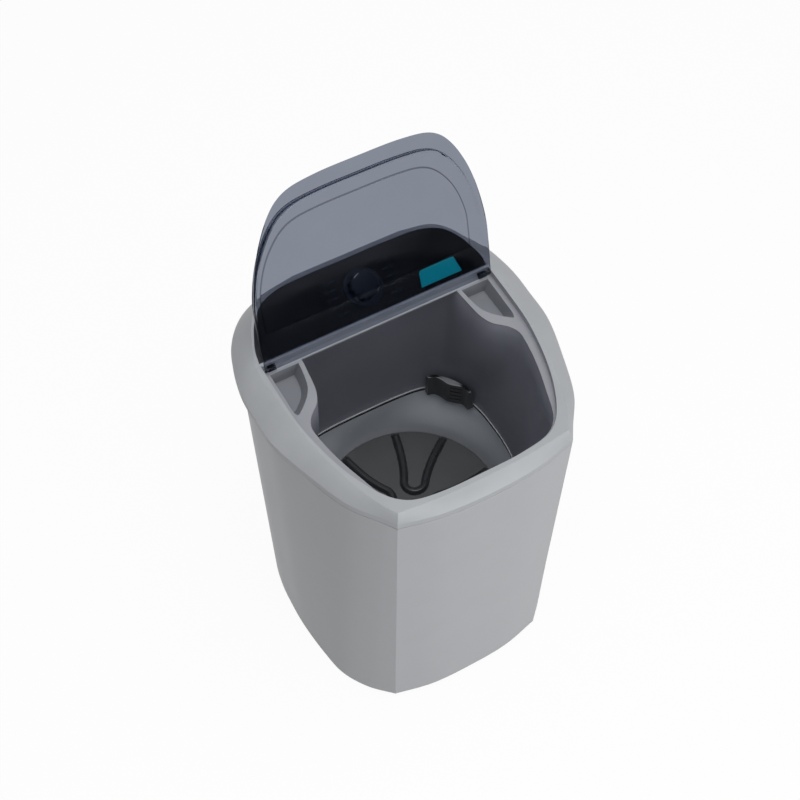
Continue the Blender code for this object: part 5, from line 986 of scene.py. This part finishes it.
def rib_path():
    """Give the middle line of a U-shaped rib that lies along X, finely."""
    turn_centre = RIB_TIP + RIB_TURN_RADIUS
    spread = RIB_REACH * tan(RIB_HALF_ANGLE)
    arm = []
    for share in even_steps(12)[:-1]:
        along = RIB_REACH + (turn_centre - RIB_REACH) * share
        across = spread + (RIB_TURN_RADIUS - spread) * (1.0 - (1.0 - share) ** RIB_ARM_CURVE)
        arm.append(Vector((along, across)))
    turn = [Vector((turn_centre + RIB_TURN_RADIUS * cos(a), RIB_TURN_RADIUS * sin(a)))
            for a in (pi / 2.0 + pi * step / 16.0 for step in range(17))]
    return arm + turn + [Vector((p.x, -p.y)) for p in arm[::-1]]


def path_distance(point, path):
    """Give the distance from a point to a path."""
    best = 1.0
    for start, end in zip(path, path[1:]):
        run = end - start
        share = min(max((point - start).dot(run) / run.length_squared, 0.0), 1.0)
        best = min(best, (point - start - run * share).length)
    return best


def rib_lift(radius, angle, path):
    """Give how far a ridge stands above the dish, with its foot melting into it."""
    away = path_distance(Vector((radius * cos(angle), radius * sin(angle))), path) / RIB_HALF_WIDTH
    if away >= RIDGE_FLAT + RIDGE_FALL:
        return 0.0
    lift = RIB_RISE * max(0.0, 1.0 - (max(away - RIDGE_FLAT, 0.0) / RIDGE_FALL) ** 2.0) ** 0.8
    return lift * ease((IMPELLER_RADIUS - radius) / RIB_FADE)


def on_ridge(face):
    """Say whether one of the impeller's faces stands above its dish, outside the hub."""
    radius = (face.center.xy - Vector((0.0, TUB_Y))).length
    return radius > HUB_RADIUS and face.center.z - dish_height(radius) > RIB_RISE * 0.10


def make_impeller():
    """Make the wash impeller as one moulded dish whose ridges melt into it."""
    path = rib_path()
    sector = 2.0 * pi / RIB_COUNT
    turns = [(step / SECTOR_STEPS - 0.5) * sector for step in range(SECTOR_STEPS * RIB_COUNT)]
    angles = [RIB_FIRST_ANGLE + turn for turn in turns]

    def circle(radius, heights):
        """Give a circle of points, each with its own height."""
        return [Vector((radius * cos(a), TUB_Y + radius * sin(a), height))
                for a, height in zip(angles, heights)]

    hub_top = dish_height(HUB_RADIUS) + HUB_RISE
    fall = 1.0 - HUB_FLAT_SHARE
    radii = [IMPELLER_BORE] + [HUB_RADIUS * share for share in (0.55, 0.80, 0.88, 0.95, 1.0)]
    radii += [HUB_RADIUS + (IMPELLER_RADIUS - HUB_RADIUS) * step / DISH_ROWS
              for step in range(1, DISH_ROWS + 1)]
    rings = []
    for radius in radii:
        if radius < HUB_RADIUS:
            share = max(radius / HUB_RADIUS - HUB_FLAT_SHARE, 0.0) / fall
            heights = [hub_top + (dish_height(HUB_RADIUS) - hub_top) * ease(share)] * SECTOR_STEPS
        else:
            level = dish_height(radius) - (RIM_DROP if radius == radii[-1] else 0.0)
            heights = [level + rib_lift(radius, turn, path) for turn in turns[:SECTOR_STEPS]]
        rings.append(circle(radius, heights * RIB_COUNT))
    under_low = TUB_FLOOR + IMPELLER_CLEARANCE
    skirt_low = IMPELLER_RIM_HEIGHT - IMPELLER_SKIRT
    skirt_inside = IMPELLER_RADIUS - IMPELLER_WALL
    under = [(IMPELLER_RADIUS, skirt_low), (skirt_inside, skirt_low),
             (skirt_inside, dish_height(IMPELLER_RADIUS) - 2.0 * IMPELLER_WALL)]
    under += [(IMPELLER_RADIUS * share, dish_height(IMPELLER_RADIUS * share) - IMPELLER_WALL)
              for share in (0.93, 0.65, 0.35)]
    under += [(HUB_RADIUS * 0.8, under_low), (IMPELLER_BORE, under_low)]
    rings += [circle(radius, [height] * len(turns)) for radius, height in under]
    wheel = loft("wash_impeller", rings, LOOKS["impeller"], "joined", 50.0)
    # Painted shade: the faces raised above the dish get the darker copy.
    tint(wheel, "ridge", on_ridge)
    show(wheel, "impeller_set", "impeller")

    cap_low = hub_top + SEAT
    profile = [(CAP_RADIUS * out, cap_low + CAP_RISE * up) for out, up in CAP_SHARES]
    profile += [(CAP_BORE_RADIUS, cap_low), (CAP_BORE_RADIUS, cap_low + CAP_BORE_DEPTH),
                (0.0, cap_low + CAP_BORE_DEPTH)]
    cap = turned("hub_cap", profile, LOOKS["impeller"], Matrix.Translation((0.0, TUB_Y, 0.0)))
    for index in range(CAP_HOLES):
        a = 2.0 * pi * (index + 0.5) / CAP_HOLES
        x, y = CAP_HOLE_OFFSET * cos(a), TUB_Y + CAP_HOLE_OFFSET * sin(a)
        place = Matrix.Translation((x, y, cap_low + CAP_RISE))
        bore(cap, CAP_HOLE_RADIUS, -CAP_HOLE_DEPTH, TOOL_REACH, place, 20)
    soften(cap, CAP_EDGE)
    show(cap, "impeller_set", "impeller_cap")


def make_console():
    """Make the glossy fascia, the badge plate and the fluted knob."""
    rings = [raised(fascia_ring(GAP), -FASCIA_THICKNESS), raised(fascia_ring(GAP), -FASCIA_EDGE)]
    for share in even_steps(4)[1:]:
        a = share * pi / 2.0
        rings.append(raised(fascia_ring(GAP + FASCIA_EDGE * (1.0 - cos(a))),
                            FASCIA_EDGE * (sin(a) - 1.0)))
    fascia = loft("gloss_fascia", rings, LOOKS["fascia"])
    knob_spot = Matrix.Translation((0.0, KNOB_UP_SLOPE, 0.0))
    bore(fascia, SPINDLE_HOLE_RADIUS, -TOOL_REACH, TOOL_REACH, knob_spot, 24)
    fascia.data.transform(CONSOLE_PLACE)
    show(fascia, "machine", "console_fascia")

    corners = [Vector((across * BADGE_WIDTH, along * BADGE_HEIGHT))
               for across, along in BADGE_OUTLINE_SHARES]
    outline = []
    for before, here, after in zip(corners[-1:] + corners, corners, corners[1:] + corners):
        outline += rounded_corner(before, here, after, BADGE_CORNER, 4, 0.4)
    levels = ((0.0, 0.0), (0.0, BADGE_THICKNESS - BADGE_EDGE), (BADGE_EDGE, BADGE_THICKNESS))
    badge = loft("bare_badge", [raised(offset(outline, -inset), level) for inset, level in levels],
                 LOOKS["badge"], "flat")
    badge.data.transform(CONSOLE_PLACE @ Matrix.Translation((BADGE_X, BADGE_UP_SLOPE, GAP)))
    show(badge, "machine", "badge_plate")

    low = KNOB_LIFT
    skirt = rounded([(0.0, low), (KNOB_RADIUS, low), (KNOB_RADIUS, low + KNOB_SKIRT * 0.6),
                     (KNOB_RADIUS - KNOB_SKIRT, low + KNOB_SKIRT), (0.0, low + KNOB_SKIRT)],
                    SKIRT_EDGE)
    knob = turned("fluted_knob", skirt, LOOKS["knob"], Matrix(), 96)
    rings = []
    fine = KNOB_FLUTES * 12
    levels = [(1.0, KNOB_SKIRT * 0.5)] + [(share, KNOB_HEIGHT * up) for share, up in GRIP_SHARES]
    for share, level in levels:
        points = []
        for step in range(fine):
            a = 2.0 * pi * step / fine
            flute = KNOB_FLUTE_DEPTH * (1.0 - cos(KNOB_FLUTES * a)) / 2.0
            radius = KNOB_GRIP_RADIUS * share * (1.0 - flute)
            points.append(Vector((radius * cos(a), radius * sin(a), low + level)))
        rings.append(points)
    combine(knob, loft("grip", rings, LOOKS["knob"], "flat", 30.0), "UNION")
    knob.data.transform(CONSOLE_PLACE @ knob_spot)
    show(knob, "knob_body", "timer_knob")


def make_marks():
    """Make the faint printed marks round the dial and the knob's pale pointer."""
    mesh = bmesh.new()
    for side in (-1.0, 1.0):
        for row in range(MARK_ROWS):
            x = MARK_REACH + MARK_BULGE * sin(pi * row / (MARK_ROWS - 1.0))
            y = KNOB_UP_SLOPE + (row - (MARK_ROWS - 1.0) / 2.0) * MARK_PITCH
            for out, up, width, height in MARK_STROKES:
                place = Matrix.Translation((side * (x + out), y + up, MARK_THICKNESS))
                size = Matrix.Diagonal((width, height, MARK_THICKNESS, 1.0))
                bmesh.ops.create_cube(mesh, size=1.0, matrix=CONSOLE_PLACE @ place @ size)
    marks = piece("dial_marks", mesh, LOOKS["legend"])
    show(marks, "machine", None)

    mesh = bmesh.new()
    top = KNOB_LIFT + KNOB_HEIGHT + POINTER_LIFT
    face_place = CONSOLE_PLACE @ Matrix.Translation((0.0, KNOB_UP_SLOPE, top))
    spot = Matrix.Translation((POINTER_RADIUS, 0.0, 0.0)) @ Matrix.Diagonal((*POINTER_BLOCK, 1.0))
    for step in range(POINTER_BLOCKS):
        turn = Matrix.Rotation(radians(POINTER_START + POINTER_STEP * step), 4, "Z")
        bmesh.ops.create_cube(mesh, size=1.0, matrix=face_place @ turn @ spot)
    pointer = piece("knob_pointer", mesh, LOOKS["pointer"])
    show(pointer, "knob_body", None)


make_cabinet()
make_top_frame()
make_lid()
make_collar()
make_bowl()
make_filter()
make_impeller()
make_console()
make_marks()


# Floor, light and camera

FLOOR_BOUNCE, FLOOR_WHITE, FLOOR_GLOW = 0.36, 1.0, 0.94
SKY_LIGHT = 0.34
FOCAL_PIXELS, PICTURE_PIXELS, SENSOR_WIDTH = 1431.90, 800.0, 36.0
CAMERA_PLACE, CAMERA_TARGET = (-0.77825, -1.32769, 2.81113), (0.0557, 0.1395, 0.45)

# Each lamp's name, power in watts, width, place and target
LAMPS = (
    ("top", 66.0, 3.0, (0.1, -0.65, 3.9), (0.0, 0.0, 0.6)),
    ("key", 75.0, 2.0, (0.7, -3.8, 0.55), (0.0, 0.0, 0.4)),
    ("fill", 3.0, 2.0, (-3.2, -1.5, 1.2), (0.0, 0.0, 0.4)))


def seen_share(tree):
    """Give one to the camera, to gloss and through glass, and nought to bounced light."""
    path = tree.nodes.new("ShaderNodeLightPath")
    camera, gloss, glass = (path.outputs["Is %s Ray" % kind]
                            for kind in ("Camera", "Glossy", "Transmission"))
    either = add_node(tree, "ShaderNodeMath", {0: camera, 1: gloss}, "MAXIMUM")
    return add_node(tree, "ShaderNodeMath", {0: either, 1: glass}, "MAXIMUM")


def spread(tree, value, low, high):
    """Turn nought to one into low to high."""
    return add_node(tree, "ShaderNodeMapRange", {"Value": value, "To Min": low, "To Max": high})


def make_floor():
    """Make the plain floor, which shows nearly white and keeps a faint shadow."""
    made = bpy.data.materials.new("floor_white")
    made.use_nodes = True
    tree = made.node_tree
    seen = seen_share(tree)
    level = spread(tree, seen, FLOOR_BOUNCE, FLOOR_WHITE)
    grey = add_node(tree, "ShaderNodeCombineColor", {"Red": level, "Green": level, "Blue": level})
    matt = wire(tree, tree.nodes["Principled BSDF"],
                {"Base Color": grey, "Roughness": 0.9, "Specular IOR Level": 0.0})
    glow = add_node(tree, "ShaderNodeEmission", {})
    mix = add_node(tree, "ShaderNodeMixShader",
                   {"Fac": spread(tree, seen, 0.0, FLOOR_GLOW), 1: matt, 2: glow})
    tree.links.new(mix, tree.nodes["Material Output"].inputs["Surface"])
    mesh = bmesh.new()
    bmesh.ops.create_grid(mesh, x_segments=1, y_segments=1, size=6.0)
    floor = piece("floor", mesh, made)


def aimed(name, data, place, target):
    """Set a lamp or a camera at a place, facing a target."""
    holder = bpy.data.objects.new(name, data)
    holder.location = place
    holder.rotation_mode = "QUATERNION"
    holder.rotation_quaternion = (Vector(target) - Vector(place)).to_track_quat("-Z", "Y")
    bpy.context.scene.collection.objects.link(holder)
    return holder


def make_stage():
    """Make the plain floor and the plain light."""
    make_floor()
    world = bpy.data.worlds.new("studio")
    bpy.context.scene.world = world
    world.use_nodes = True
    tree = world.node_tree
    background = tree.nodes["Background"]
    background.inputs["Color"].default_value = (1.0, 1.0, 1.0, 1.0)
    tree.links.new(spread(tree, seen_share(tree), SKY_LIGHT, 1.0), background.inputs["Strength"])
    for name, energy, size, place, target in LAMPS:
        lamp = bpy.data.lights.new(name, "AREA")
        lamp.energy = energy
        lamp.size = size
        aimed(name, lamp, place, target)


def make_camera():
    """Make the camera at the photograph's angle."""
    data = bpy.data.cameras.new("camera")
    data.sensor_width = SENSOR_WIDTH
    data.lens = FOCAL_PIXELS / PICTURE_PIXELS * SENSOR_WIDTH
    data.clip_start = 0.05
    bpy.context.scene.camera = aimed("camera", data, CAMERA_PLACE, CAMERA_TARGET)


make_stage()
make_camera()
bpy.context.scene.view_settings.view_transform = "Standard"
